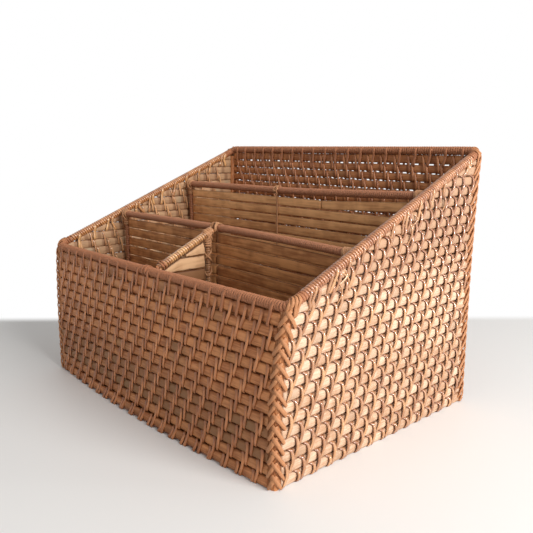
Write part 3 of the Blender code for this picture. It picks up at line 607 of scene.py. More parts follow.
def cane_group() -> bpy.types.NodeTree:
    """Makes the group that colours split cane: streaks, blotches, age, and painted shade.

    Returns:
        The node group.
    """
    group = bpy.data.node_groups.new("split_cane", "ShaderNodeTree")
    face = group.interface
    for name, kind, value in (("Fibre", "NodeSocketVector", (0, 0, 0)),
                              ("Tone", "NodeSocketVector", (0.5, 0, 0)),
                              ("Pale", "NodeSocketColor", (0.7, 0.4, 0.2, 1)),
                              ("Deep", "NodeSocketColor", (0.4, 0.2, 0.1, 1)),
                              ("Crevice Shade", "NodeSocketColor", (0.08, 0.03, 0.01, 1)),
                              ("Weathered And Shade", "NodeSocketColor", (0.3, 0.24, 0.17, 1)),
                              ("Streak Width", "NodeSocketFloat", 0.0007),
                              ("Streak Strength", "NodeSocketFloat", 0.5),
                              ("Roughness", "NodeSocketFloat", 0.45)):
        face.new_socket(name, in_out="INPUT", socket_type=kind).default_value = value
    face.new_socket("Color", in_out="OUTPUT", socket_type="NodeSocketColor")
    face.new_socket("Roughness", in_out="OUTPUT", socket_type="NodeSocketFloat")
    face.new_socket("Height", in_out="OUTPUT", socket_type="NodeSocketFloat")
    make = Shader(group)
    given = make.node("NodeGroupInput").outputs
    fibre = given["Fibre"]
    parts = make.node("ShaderNodeSeparateXYZ", {0: given["Tone"]}).outputs
    place = make.node("ShaderNodeTexCoord").outputs["Object"]
    fine = make.math("DIVIDE", 0.5, given["Streak Width"])
    stretched = make.node("ShaderNodeVectorMath", {0: fibre, 1: PATTERN.streak_stretch},
                          operation="MULTIPLY").outputs[0]
    streaks = make.node("ShaderNodeTexNoise",
                        {"Vector": stretched, "Scale": fine, "Detail": PATTERN.streak_detail,
                         "Roughness": PATTERN.streak_roughness}).outputs["Fac"]
    blotches = make.node("ShaderNodeTexNoise", {"Vector": place, "Scale": PATTERN.blotch_scale,
                                                "Detail": 2.0}).outputs["Fac"]
    slow = make.node("ShaderNodeVectorMath", {0: fibre, 1: PATTERN.patch_stretch},
                     operation="MULTIPLY").outputs[0]
    patches = make.node("ShaderNodeTexNoise", {"Vector": slow, "Scale": PATTERN.patch_scale,
                                               "Detail": 1.0}).outputs["Fac"]
    streak = make.math("MULTIPLY", make.math("SUBTRACT", streaks, 0.5), given["Streak Strength"])
    depth = make.math("ADD", parts["X"], make.math("MULTIPLY", streak, PATTERN.streak_depth))
    for noise, most in ((blotches, PATTERN.blotch_depth), (patches, PATTERN.patch_depth)):
        depth = make.math("ADD", depth, make.ramp(noise, PATTERN.darkest_noise,
                                                  PATTERN.palest_noise, -most, most))
    colour = make.mix(make.ramp(depth, 0.0, 1.0), given["Pale"], given["Deep"])
    # The aged colour also carries painted shade where a wall's painted shade is strong; the last
    # mix is the painted shade of crevices.
    colour = make.mix(parts["Y"], colour, given["Weathered And Shade"])
    colour = make.mix(parts["Z"], colour, given["Crevice Shade"])
    rough = make.math("ADD", given["Roughness"],
                      make.math("MULTIPLY", streak, PATTERN.streak_shine))
    make.node("NodeGroupOutput", {"Color": colour, "Roughness": rough, "Height": streaks})
    return group


class Grain(Enum):
    """Where a finish gets the run of its streaks: a strand's own, or one axis of a solid."""

    STRAND = ""
    X = "_x"
    Y = "_y"
    Z = "_z"


@dataclass(frozen=True)
class CaneFinish:
    """Finish of one kind of split cane."""

    name: str
    pale: Colour
    deep: Colour
    # Painted shade colour of crevices, and an aged colour that also paints shade where a wall's
    # painted shade is strong.
    crevice_shade: Colour = (0.10, 0.035, 0.012)
    weathered_and_shade: Colour = (0.26, 0.18, 0.11)
    streak_width: float = 0.0007
    streak_strength: float = 0.5
    roughness: float = 0.48
    coat: float = 0.0
    coat_roughness: float = 0.22
    shine: float = 0.5
    bump: float = 0.25
    bump_height: float = 0.0002

    def material(self, grain: Grain = Grain.STRAND) -> bpy.types.Material:
        """Makes the material, or finds it.

        Args:
            grain: where its streaks run.

        Returns:
            The material.
        """
        name = self.name + grain.value
        made = bpy.data.materials.get(name)
        if made:
            return made
        made = bpy.data.materials.new(name)
        made.use_nodes = True
        make = Shader(made.node_tree)
        looks = {"Pale": rgba(self.pale), "Deep": rgba(self.deep), "Crevice Shade": rgba(self.crevice_shade),
                 "Weathered And Shade": rgba(self.weathered_and_shade), "Streak Width": self.streak_width,
                 "Streak Strength": self.streak_strength, "Roughness": self.roughness}
        looks.update(self.run_of_fibre(make, grain))
        group = bpy.data.node_groups.get("split_cane") or cane_group()
        cane = make.node("ShaderNodeGroup", looks, node_tree=group)
        bump = make.node("ShaderNodeBump", {"Height": cane.outputs["Height"],
                                            "Strength": self.bump,
                                            "Distance": self.bump_height})
        shader = made.node_tree.nodes["Principled BSDF"]
        for socket, name in ((cane.outputs["Color"], "Base Color"),
                             (cane.outputs["Roughness"], "Roughness"),
                             (bump.outputs["Normal"], "Normal")):
            made.node_tree.links.new(socket, shader.inputs[name])
        shader.inputs["Specular IOR Level"].default_value = self.shine
        shader.inputs["Coat Weight"].default_value = self.coat
        shader.inputs["Coat Roughness"].default_value = self.coat_roughness
        return made

    @staticmethod
    def run_of_fibre(make: Shader, grain: Grain) -> dict[str, bpy.types.NodeSocket]:
        """Finds where the cane's fibres run, and how deep its colour is.

        Args:
            make: the material's helper.
            grain: where its streaks run.

        Returns:
            Sockets for the cane group's inputs, by their names.
        """
        if grain is Grain.STRAND:
            return {layer.title(): make.node("ShaderNodeAttribute",
                                             attribute_name=layer).outputs["Vector"]
                    for layer in ("fibre", "tone")}
        place = make.node("ShaderNodeTexCoord").outputs["Object"]
        x, y, z = make.node("ShaderNodeSeparateXYZ", {0: place}).outputs
        order = {Grain.X: (x, y, z), Grain.Y: (y, x, z), Grain.Z: (z, x, y)}[grain]
        fibre = make.node("ShaderNodeCombineXYZ", dict(enumerate(order))).outputs[0]
        return {"Fibre": fibre}


# Slat cane of the right wall. Its aged colour is brownish, as it also paints shade on the wall's
# upper rows.
SLAT = CaneFinish("slat_cane", (0.68, 0.485, 0.345), (0.46, 0.265, 0.155),
                  crevice_shade=(0.29, 0.115, 0.05), weathered_and_shade=(0.36, 0.225, 0.14), roughness=0.5,
                  shine=0.4, streak_width=0.0004, streak_strength=0.9, bump=0.5)
# Shaded copy of the slat cane: deeper, redder colours paint the shade that the front and back walls
# lie in.
SHADE_SLAT = CaneFinish("front_cane", (0.58, 0.248, 0.10), (0.31, 0.106, 0.038),
                        crevice_shade=(0.19, 0.062, 0.022), weathered_and_shade=(0.22, 0.125, 0.058),
                        roughness=0.5, shine=0.2, streak_width=0.0005, streak_strength=0.75)
STITCH = CaneFinish("stitch_cane", (0.60, 0.315, 0.14), (0.32, 0.13, 0.052), coat=1.0,
                    crevice_shade=(0.24, 0.08, 0.032), roughness=0.3, coat_roughness=0.10,
                    streak_strength=0.5, bump=0.15)
# Shaded copy of the stitch cane, painted deeper for the same shade.
SHADE_STITCH = CaneFinish("shaded_stitch_cane", (0.58, 0.235, 0.092), (0.32, 0.11, 0.039),
                          crevice_shade=(0.19, 0.062, 0.022), coat=0.3, roughness=0.4,
                          streak_strength=0.5, shine=0.25)
INNER_SLAT = CaneFinish("inner_cane", (0.56, 0.31, 0.16), (0.34, 0.165, 0.082),
                        crevice_shade=(0.17, 0.062, 0.026), weathered_and_shade=(0.40, 0.285, 0.18),
                        roughness=0.5, shine=0.2, streak_width=0.0005, streak_strength=0.75)
INNER_STITCH = CaneFinish("inner_stitch_cane", (0.62, 0.33, 0.15), (0.36, 0.16, 0.07),
                          crevice_shade=(0.19, 0.07, 0.028), coat=0.8, roughness=0.34,
                          coat_roughness=0.16, streak_strength=0.5)
RIM = CaneFinish("rim_cane", (0.54, 0.25, 0.12), (0.27, 0.10, 0.045), coat=0.7,
                 crevice_shade=(0.12, 0.04, 0.016), roughness=0.34, coat_roughness=0.16,
                 streak_strength=0.4, shine=0.4)
PINK_RIM = CaneFinish("pink_rim_cane", (0.52, 0.225, 0.095), (0.29, 0.10, 0.038), coat=0.8,
                      crevice_shade=(0.17, 0.06, 0.025), roughness=0.34, coat_roughness=0.16,
                      streak_strength=0.4, shine=0.4)
ORANGE_RIM = CaneFinish("orange_rim_cane", (0.68, 0.32, 0.125), (0.38, 0.145, 0.052), coat=0.9,
                        crevice_shade=(0.16, 0.05, 0.018), roughness=0.32, coat_roughness=0.14,
                        streak_strength=0.4)
BINDING = CaneFinish("binding_cane", (0.95, 0.51, 0.145), (0.60, 0.25, 0.075), coat=1.0,
                     crevice_shade=(0.26, 0.09, 0.03), roughness=0.3, coat_roughness=0.14,
                     streak_strength=0.6)
LASHING = CaneFinish("lashing_cane", (0.70, 0.40, 0.18), (0.38, 0.175, 0.075), coat=0.6,
                     roughness=0.4, streak_strength=0.5)
BAMBOO = CaneFinish("divider_bamboo", (0.62, 0.285, 0.11), (0.31, 0.12, 0.043), roughness=0.6,
                    streak_width=0.0009, streak_strength=0.6, shine=0.2)
DARK_BAMBOO = CaneFinish("rear_bamboo", (0.80, 0.43, 0.19), (0.50, 0.235, 0.095), roughness=0.6,
                         streak_width=0.0009, streak_strength=0.6, shine=0.25)
PALE_BAMBOO = CaneFinish("short_bamboo", (0.64, 0.39, 0.215), (0.38, 0.19, 0.085),
                         roughness=0.55, streak_width=0.0009, streak_strength=0.6, shine=0.3)
POST = CaneFinish("post_cane", (0.40, 0.20, 0.09), (0.24, 0.10, 0.04), coat=0.3,
                  roughness=0.45, streak_strength=0.5, shine=0.3)
GOLD = CaneFinish("gold_cane", (0.78, 0.44, 0.19), (0.42, 0.18, 0.07), coat=1.0,
                  crevice_shade=(0.20, 0.07, 0.025), roughness=0.3, streak_strength=0.5)
RAIL = CaneFinish("rail_cane", (0.42, 0.18, 0.085), (0.23, 0.085, 0.038), coat=0.5,
                  roughness=0.4, streak_strength=0.5, shine=0.4)


@dataclass(frozen=True)
class Gloom:
    """How much deeper a wall's colours are made towards the floor, and towards the back's rim,
    where the deeper colour is painted shade.
    """

    floor: float = 0.0
    rim: float = 0.0
    floor_from: float = 0.070
    floor_reach: float = 0.045
    rim_from: float = 0.100
    rim_reach: float = 0.065

    def at(self, height: Array) -> Array:
        """Finds how much deeper the colours are.

        Args:
            height: heights above the floor.

        Returns:
            For each height, 0 for no deeper.
        """
        low = np.clip((self.floor_from - height) / self.floor_reach, 0, 1)
        high = np.clip((height - self.rim_from) / self.rim_reach, 0, 1)
        return self.rim * high + self.floor * low


@dataclass
class WallWeave:
    """One wall: rows of slats, and the cane that stitches each row to the next."""

    wall: Wall
    seed: int
    pitch: float = 0.0143
    stagger: float = 0.0042
    margin: float = 0.0074
    stitch_margin: float = 0.0095
    start_room: float = 0.0005
    end_room: float = 0.0020
    place_spread: float = 0.5
    slat_gap: float = 0.0008
    slat_near: float = 0.0012
    slat_far: float = 0.0049
    strand_width: float = 0.0027
    strand_thickness: float = 0.0011
    reach: float = 2.6
    lean: float = 1.7
    pinching: float = 0.7
    bow: float = 1.0
    # How much painted shade darkens the stitches' edges.
    edge: float = 0.4
    slat_step: float = 0.0008
    strand_sides: int = 8
    slat_finish: CaneFinish = SLAT
    stitch_finish: CaneFinish = STITCH
    row_dark: dict[int, float] = field(default_factory=dict)
    row_grey: dict[int, float] = field(default_factory=dict)
    gloom: Gloom = Gloom()
    rim_overlap: float = 0.0012
    least_row_share: float = 0.35
    tube_stations: int = 338
    press_left: float = 0.0013
    press_right: float = 0.0019
    press_rise: float = 0.0019
    press_fall: float = 0.0010
    press_height: float = 0.0020
    press_depth: float = 0.0010
    top_raise: float = 0.0010
    wave: float = 0.0002
    slat_dark: float = 0.36
    slat_spread: float = 0.16
    cell_spread: float = 0.22
    cells: int = 40
    patches: int = 16
    # Where the painted shade passes gloom_grey_from, the aged colour is mixed in as more painted
    # shade.
    gloom_grey: float = 0.4
    gloom_grey_from: float = 0.25
    stitch_gloom: float = 0.6
    stitch_dark: tuple[float, float] = (0.1, 0.75)
    tone_stations: int = 12

    def rows(self) -> list[tuple[float, float]]:
        """Finds the rows of slats.

        Returns:
            Low and high line of each row, from the top down.
        """
        levels = FORM.levels()
        if self.wall is Wall.FRONT:
            levels = levels[:FORM.front_rows + 1]
        return list(zip(levels[:-1], levels[1:]))[::-1]

    def limit(self, along: Array) -> Array:
        """Finds the rim's underside, which the slats reach into a little.

        Args:
            along: distances from the wall's left end, as seen from outside.

        Returns:
            The height at each.
        """
        stretch = 1.0 if self.wall in (Wall.FRONT, Wall.BACK) else math.hypot(1, FORM.slope)
        middle = FORM.rim_height(self.wall, along) - FORM.rim_radius * (1 + stretch)
        return middle + self.rim_overlap

    def span(self, low: float, high: float) -> tuple[float, float]:
        """Finds where the corners or the slope cut a row.

        Args:
            low: the row's lower line.
            high: the row's upper line.

        Returns:
            The row's two ends along the wall.
        """
        ends = np.linspace(self.margin, FORM.length(self.wall) - self.margin, 400)
        free = ends[self.limit(ends) > low + self.least_row_share * (high - low)]
        return float(free[0]), float(free[-1])

    def stitch_places(self, index: int, low: float, high: float) -> list[float]:
        """Finds where the stitches over a pair of rows start.

        Args:
            index: number of the pair's upper row, from the top.
            low: that row's lower line.
            high: that row's upper line.

        Returns:
            The places along the wall.
        """
        start, end = self.span(low, high)
        place = (-index * self.stagger) % self.pitch + self.stitch_margin - self.pitch
        rng = random.Random(self.seed * 100 + index)
        places = []
        while place < end - self.stitch_margin + self.margin - self.end_room:
            if place > start + self.start_room:
                places.append(place + rng.uniform(-self.place_spread, self.place_spread) * MM)
            place += self.pitch
        return places

    def build(self) -> None:
        """Builds the slats and the stitches."""
        name = self.wall.value
        rows = self.rows()
        places = [self.stitch_places(i, *row) for i, row in enumerate(rows)]
        slats = Strands(name + "_slats", self.seed)
        for index, (low, high) in enumerate(rows):
            self.add_slat(slats, index, low, high, places[index])
        slats.finish(self.slat_finish.material(), Slot.WALL, [name + "_wall"])
        stitches = Strands(name + "_stitches", self.seed + 40)
        for index, (low, high) in enumerate(rows):
            foot = rows[index + 1][0] if index + 1 < len(rows) else low
            self.add_stitches(stitches, places[index], high, low, foot)
        stitches.finish(self.stitch_finish.material(), Slot.LASHING, [])

    def pinch(self, along: Array, marks: list[float]) -> Array:
        """Measures how far the stitches press a slat.

        Args:
            along: stations along the slat.
            marks: where the stitches start that rise over it.

        Returns:
            For each station, 0 where the slat is free and 1 under a stitch.
        """
        pinch = 0 * along
        for mark in marks:
            left = mark + self.reach * MM - self.press_left
            right = mark + self.reach * MM + self.press_right
            before = np.clip((left - along) / self.press_rise, 0, 1)
            after = np.clip((along - right) / self.press_fall, 0, 1)
            swell = np.sqrt(np.clip(1 - (1 - before) ** 2, 0, 1))
            pinch = np.maximum(pinch, np.where(along > right, 1 - after, 1 - swell))
        return pinch

    def add_slat(self, slats: Strands, index: int, low: float, high: float,
                 marks: list[float]) -> None:
        """Adds one row's slat: a chain of pillows, each rounded where the next stitch rises.

        Args:
            slats: the piece.
            index: the row's number from the top.
            low: its lower line.
            high: its upper line.
            marks: where the stitches start that rise over this row.
        """
        rng = slats.random
        start, end = self.span(low, high)
        along = np.linspace(start, end, max(4, int((end - start) / self.slat_step)) + 1)
        pinch = self.pinch(along, marks)
        top = np.minimum(high + (self.top_raise if index == 0 else 0), self.limit(along))
        wave = self.wave * np.sin(along * rng.uniform(35, 60) + rng.uniform(0, 6))
        middle = (low + top) / 2 + wave
        height = top - low - self.slat_gap - self.press_height * pinch * self.pinching
        thickness = self.slat_far - self.slat_near - self.press_depth * pinch * self.pinching
        depth = (self.slat_near + self.slat_far) / 2
        centre = FORM.place(self.wall, along, middle, depth + 0 * along)
        outer = FORM.place(self.wall, along, middle, depth - MM + 0 * along)
        dark = self.row_dark.get(index, self.slat_dark) + rng.uniform(-self.slat_spread,
                                                                      self.slat_spread)
        cells = np.interp(along, np.linspace(start, end, self.cells),
                          [rng.uniform(-self.cell_spread, self.cell_spread)
                           for _ in range(self.cells)])
        grey = self.row_grey.get(index, 0.0) + np.interp(
            along, np.linspace(start, end, self.patches),
            [max(0, rng.gauss(-0.2, 0.35)) for _ in range(self.patches)])
        # Painted shade deepens the colours towards the back's rim; they are also made deeper
        # towards the floor.
        gloom = self.gloom.at(middle)
        # Where a stitch presses the slat it takes the painted shade of crevices, and painted shade
        # darkens its two edges.
        slats.add(Path.along(centre, unit(outer - centre), height, thickness,
                             dark + cells + gloom,
                             grey + self.gloom_grey * np.maximum(gloom - self.gloom_grey_from, 0),
                             0.5 * pinch), sides=12, square=3.4, edge=0.55)

    def add_stitches(self, strands: Strands, places: list[float], top: float, middle: float,
                     foot: float) -> None:
        """Adds the strand that winds round two rows.

        Args:
            strands: the piece.
            places: where each turn starts, at the top.
            top: upper line of the upper row.
            middle: line between the two rows.
            foot: lower line of the lower row.
        """
        if len(places) < 2:
            return
        rng = strands.random
        controls = []
        shades = []
        size = 0.5 if foot == middle else 1.0
        if size < 1:
            middle = (top + foot) / 2
        for turn, place in enumerate(places):
            nearest = self.pitch if turn + 1 == len(places) else places[turn + 1] - place
            lean = size * self.lean + rng.uniform(-0.5, 0.5)
            reach = self.reach + rng.uniform(-0.3, 0.3)
            rise = top - foot
            # Each row: across in mm, height, depth in mm, how far it looks up and out, how much
            # painted shade of crevices.
            outside = ((-0.2, top + 0.2 * MM, 3.4, 1, 0, 1.0),
                       (0.5, top, 1.9, 0.9, 0.5, 0.8),
                       (reach - 0.9, top - size * 0.7 * MM, 1.35, 0.6, 0.8, 0.55),
                       (reach - 0.1, top - size * 2.3 * MM, 0.8, 0.4, 1, 0.3),
                       (reach + 0.1, top - size * 4.4 * MM, 0.3, 0.25, 1, 0),
                       (reach, middle, 0.1, 0.05, 1, 0),
                       (reach - 0.4 * lean, middle - size * 2.6 * MM, 0.35, -0.1, 1, 0),
                       (reach - lean, foot + size * 2.2 * MM, 0.8, -0.3, 1, 0.1),
                       (reach - lean - 0.5, foot + 0.5 * MM, 1.5, -0.8, 0.6, 0.5),
                       (reach - lean - 0.4, foot - 0.2 * MM, 3.4, -1, 0, 1.0))
            first = (reach - lean) * MM
            # The same on the way back inside the wall, but across in metres.
            inside = ((first + 1.4 * MM, foot + 1.5 * MM, 3.1, -1, 0, 1.0),
                      (nearest - 4.8 * MM, foot + 1.5 * MM, 3.1, -1, 0, 1.0),
                      (nearest - 3.6 * MM, foot + 0.3 * MM, 4.4, -0.8, -0.6, 0.8),
                      (nearest - 3.3 * MM, foot + 0.16 * rise, 5.4, -0.2, -1, 0.2),
                      (nearest - 2.8 * MM, foot + 0.4 * rise, 5.5, 0, -1, 0),
                      (nearest - 1.5 * MM, foot + 0.78 * rise, 5.5, 0, -1, 0),
                      (nearest - 0.6 * MM, top - 0.6 * MM, 5.1, 0.6, -0.8, 0.4))
            for across, height, depth, up, out, painted_shade in outside:
                if depth < 3:
                    depth = 0.5 + self.bow * (depth - 0.5)
                controls.append((place + across * MM, height, depth * MM, up, out))
                shades.append(painted_shade)
            if turn + 1 < len(places):
                for across, height, depth, up, out, painted_shade in inside:
                    controls.append((place + across, height, depth * MM, up, out))
                    shades.append(painted_shade)
        fine = smooth_path(np.array(controls), 2)
        painted_shade = np.interp(np.arange(len(fine)) / 2, np.arange(len(shades)), shades)
        along, height, depth, up, out = fine.T
        height = np.maximum(height, 0.0004)
        centre, normal = FORM.face(self.wall, along, height, depth, out, up)
        tones = [rng.uniform(*self.stitch_dark)
                 for _ in range(len(fine) // self.tone_stations + 2)]
        dark = np.interp(np.arange(len(fine)) / self.tone_stations, np.arange(len(tones)), tones)
        # The stitches take part of the wall's painted shade towards the rim, and its deepening
        # towards the floor.
        dark = dark + self.stitch_gloom * self.gloom.at(height)
        width = self.strand_width * rng.uniform(0.92, 1.08)
        strands.add_long(Path.along(centre, normal, width, self.strand_thickness, dark, 0.0,
                                    0.8 * painted_shade), self.tube_stations, self.strand_sides, self.edge)


def spaced(points: Array, spacing: float) -> tuple[Array, Array]:
    """Even stations along a line of points.

    Args:
        points: the line's points in rows.
        spacing: about how far apart the stations are.

    Returns:
        The stations, and how far along the line each is.
    """
    run = np.concatenate([[0], np.cumsum(np.linalg.norm(np.diff(points, axis=0), axis=1))])
    places = np.linspace(0, run[-1], max(3, int(run[-1] / spacing) + 1))
    return np.stack([np.interp(places, run, column) for column in points.T], axis=-1), places


@dataclass
class Winding:
    """Cane wound round a rod in close turns."""

    radius: float
    pitch: float = 0.0022
    width: float = 0.0022
    thickness: float = 0.0015
    dark: float = 0.45
    spread: float = 0.25
    stations: int = 12
    hand: int = 1
    filled: bool = True
    turns_a_tube: int = 40
    wander: float = 0.12
    lift: float = 0.06
    # The core shows only between the turns; its deep colour and the painted shade of crevices stand
    # in for the shade there.
    core_dark: float = 0.9
    core_hidden: float = 0.7

    def wind(self, strands: Strands, axis: Array, outward: Array, light: Array | None = None,
             turn: float = 0.0) -> None:
        """Winds the cane.

        Args:
            strands: the piece.
            axis: points along the middle of the rod.
            outward: a direction across the rod for each point.
            light: how much lighter the cane is at each point of the axis.
            turn: where round the rod the first turn starts.
        """
        spacing = self.pitch / self.stations
        both, run = spaced(np.hstack([axis, outward]), spacing)
        centre, out = both[:, :3], both[:, 3:]
        tangent = unit(np.gradient(centre, axis=0))
        out = unit(out - tangent * np.sum(out * tangent, axis=1, keepdims=True))
        across = np.cross(tangent, out)
        rng = strands.random
        angle = turn + self.hand * 2 * math.pi * run / self.pitch
        radial = out * np.cos(angle)[:, None] + across * np.sin(angle)[:, None]
        turns = int(run[-1] / self.pitch) + 2
        wobble = [rng.uniform(-self.wander, self.wander) for _ in range(turns)]
        tones = [self.dark + rng.uniform(-self.spread, self.spread) for _ in range(turns)]
        at = run / self.pitch
        lift = np.interp(at, range(turns),
                         [rng.uniform(-self.lift, self.lift) for _ in range(turns)])
        places = centre + radial * (self.radius - self.thickness / 2 + lift[:, None] * MM)
        places = places + tangent * (np.interp(at, range(turns), wobble) * MM)[:, None]
        dark = np.interp(at, range(turns), tones)
        if light is not None:
            dark = dark - np.interp(np.linspace(0, 1, len(run)), np.linspace(0, 1, len(light)),
                                    light)
        # Painted shade darkens each turn's edges, so the turns read as lines.
        strands.add_long(Path.along(places, radial, self.width, self.thickness, dark),
                         self.turns_a_tube * self.stations + 1, sides=6, edge=0.8)
        if self.filled:
            inner = slice(None, None, self.stations)
            size = 2 * self.radius - 1.3 * self.thickness
            strands.add(Path.along(centre[inner], out[inner], size, size, self.core_dark, 0.0,
                                   self.core_hidden), sides=10)


@dataclass
class Rim:
    """Wrapped rim of one wall, with the ties that hold the top rows of slats."""

    wall: Wall
    seed: int
    tie_pitch: float = 0.0145
    tie_width: float = 0.0027
    tie_thickness: float = 0.0011
    tie_drop: float = 0.0130
    least_drop: float = 0.0085
    tie_tuck: float = 0.0002
    twin_share: float = 0.45
    twin_gap: float = 0.0034
    reach: float = 0.0146
    dark: float = 0.5
    finish: CaneFinish = RIM
    tie_finish: CaneFinish = RIM
    light: tuple[tuple[float, float], ...] = ()
    strays: tuple[float, ...] = ()

    def axis(self, along: Array) -> tuple[Array, Array]:
        """Finds the middle line of the rim's rod.

        Args:
            along: distances from the wall's left end, as seen from outside.

        Returns:
            The places, and the way out of the wall at each.
        """
        height = FORM.rim_height(self.wall, along) - FORM.rim_radius
        centre = FORM.place(self.wall, along, height, FORM.rim_radius)
        return centre, centre - FORM.place(self.wall, along, height, FORM.rim_radius + MM)

    def build(self) -> None:
        """Builds the winding and the ties."""
        name = self.wall.value
        length = FORM.length(self.wall)
        along = np.linspace(self.reach, length - self.reach, 60)
        wrap = Strands("rim_wrap_" + name, self.seed)
        light = np.interp(along, *zip(*self.light)) if self.light else None
        winding = Winding(FORM.wrap_radius, dark=self.dark)
        winding.wind(wrap, *self.axis(along), light=light)
        wrap.finish(self.finish.material(), Slot.RIM, ["rim_wrap_" + name])
        ties = Strands("rim_ties_" + name, self.seed + 5)
        count = int((length - 2 * self.reach) / self.tie_pitch)
        first = (length - count * self.tie_pitch) / 2
        for index in range(count + 1):
            place = first + index * self.tie_pitch
            self.add_tie(ties, place)
            if self.wall in (Wall.LEFT, Wall.RIGHT) and ties.random.random() < self.twin_share:
                shift = ties.random.choice((-1, 1))
                self.add_tie(ties, place + shift * self.twin_gap,
                             shift * ties.random.uniform(3, 5.5))
        for place in self.strays:
            self.add_stray(ties, place)
        ties.finish(self.tie_finish.material(), Slot.RIM, [])

    def add_stray(self, ties: Strands, along: float) -> None:
        """Adds a loose end of cane that curls down over the slats from under the rim.

        Args:
            ties: the piece.
            along: where it starts along the wall.
        """
        rng = ties.random
        top = float(FORM.rim_height(self.wall, np.array(along))) - 2.2 * FORM.rim_radius
        reach, fall = rng.uniform(-9, 9), rng.uniform(9, 21)
        share = np.linspace(0, 1, 16)
        place = along + MM * reach * share + MM * 2.5 * np.sin(share * rng.uniform(3, 6))
        height = top - MM * fall * share ** 0.9
        depth = MM * (2.2 - 3.4 * np.sin(math.pi * share ** 0.8) * rng.uniform(0.6, 1.0))
        centre = FORM.place(self.wall, place, height, depth)
        outer = FORM.place(self.wall, place, height, depth - MM) - centre
        ties.add(Path.along(centre, unit(outer), rng.uniform(1.2, 2.0) * MM, 0.0009,
                            rng.uniform(0.0, 0.9)), sides=6, square=2.2)

    def add_tie(self, ties: Strands, along: float, slant: float = 0.0) -> None:
        """Adds one tie, from the rim's middle down over the slats and into the slot below.

        Args:
            ties: the piece.
            along: where it crosses the rim.
            slant: how many more millimetres it leans.
        """
        rng = ties.random
        along += rng.uniform(-0.8, 0.8) * MM
        top = float(FORM.rim_height(self.wall, np.array(along))) - FORM.rim_radius
        drop = self.tie_drop
        lean = rng.uniform(0.6, 2.2)
        if self.wall in (Wall.LEFT, Wall.RIGHT):
            levels = FORM.levels()
            below = [z for z in levels if z < top - self.least_drop]
            drop = top - max(below) + self.tie_tuck
            lean = rng.uniform(-1.5, 2.5)
        lean += slant
        # Each row: across and height in mm, depth in mm, how far it looks up and out, how much
        # painted shade of crevices.
        table = ((0.5, 1.6, 1.0, 0.5, 1, 0.6), (0.3, 0.4, 0.25, 0.15, 1, 0.1),
                 (0.1, -1.8, 0.1, -0.2, 1, 0), (0, -4.2, 0.5, 0, 1, 0),
                 (-0.25 * lean, -0.5 * drop / MM, 0.6, 0, 1, 0),
                 (-0.7 * lean, -drop / MM + 2.4, 0.65, 0, 1, 0),
                 (-lean, -drop / MM + 0.5, 1.4, -0.7, 0.7, 0.5),
                 (-lean, -drop / MM, 3.6, -1, 0.1, 1.0))
        for side in (1, -1):
            points = np.array([(along + side * a * MM, top + h * MM,
                                (d if side > 0 else max(6.9, 7.7 + 0.2 * min(h, 0)) - d) * MM,
                                up, side * out, dim) for a, h, d, up, out, dim in table])
            fine = smooth_path(points, 2)
            place, height, depth, up, out, dim = fine.T
            centre, normal = FORM.face(self.wall, place, height, depth, out, up)
            width = self.tie_width * rng.uniform(0.85, 1.1)
            ties.add(Path.along(centre, normal, width, self.tie_thickness,
                                rng.uniform(0.3, 0.75), 0.0, 0.8 * dim), sides=6, square=2.3)


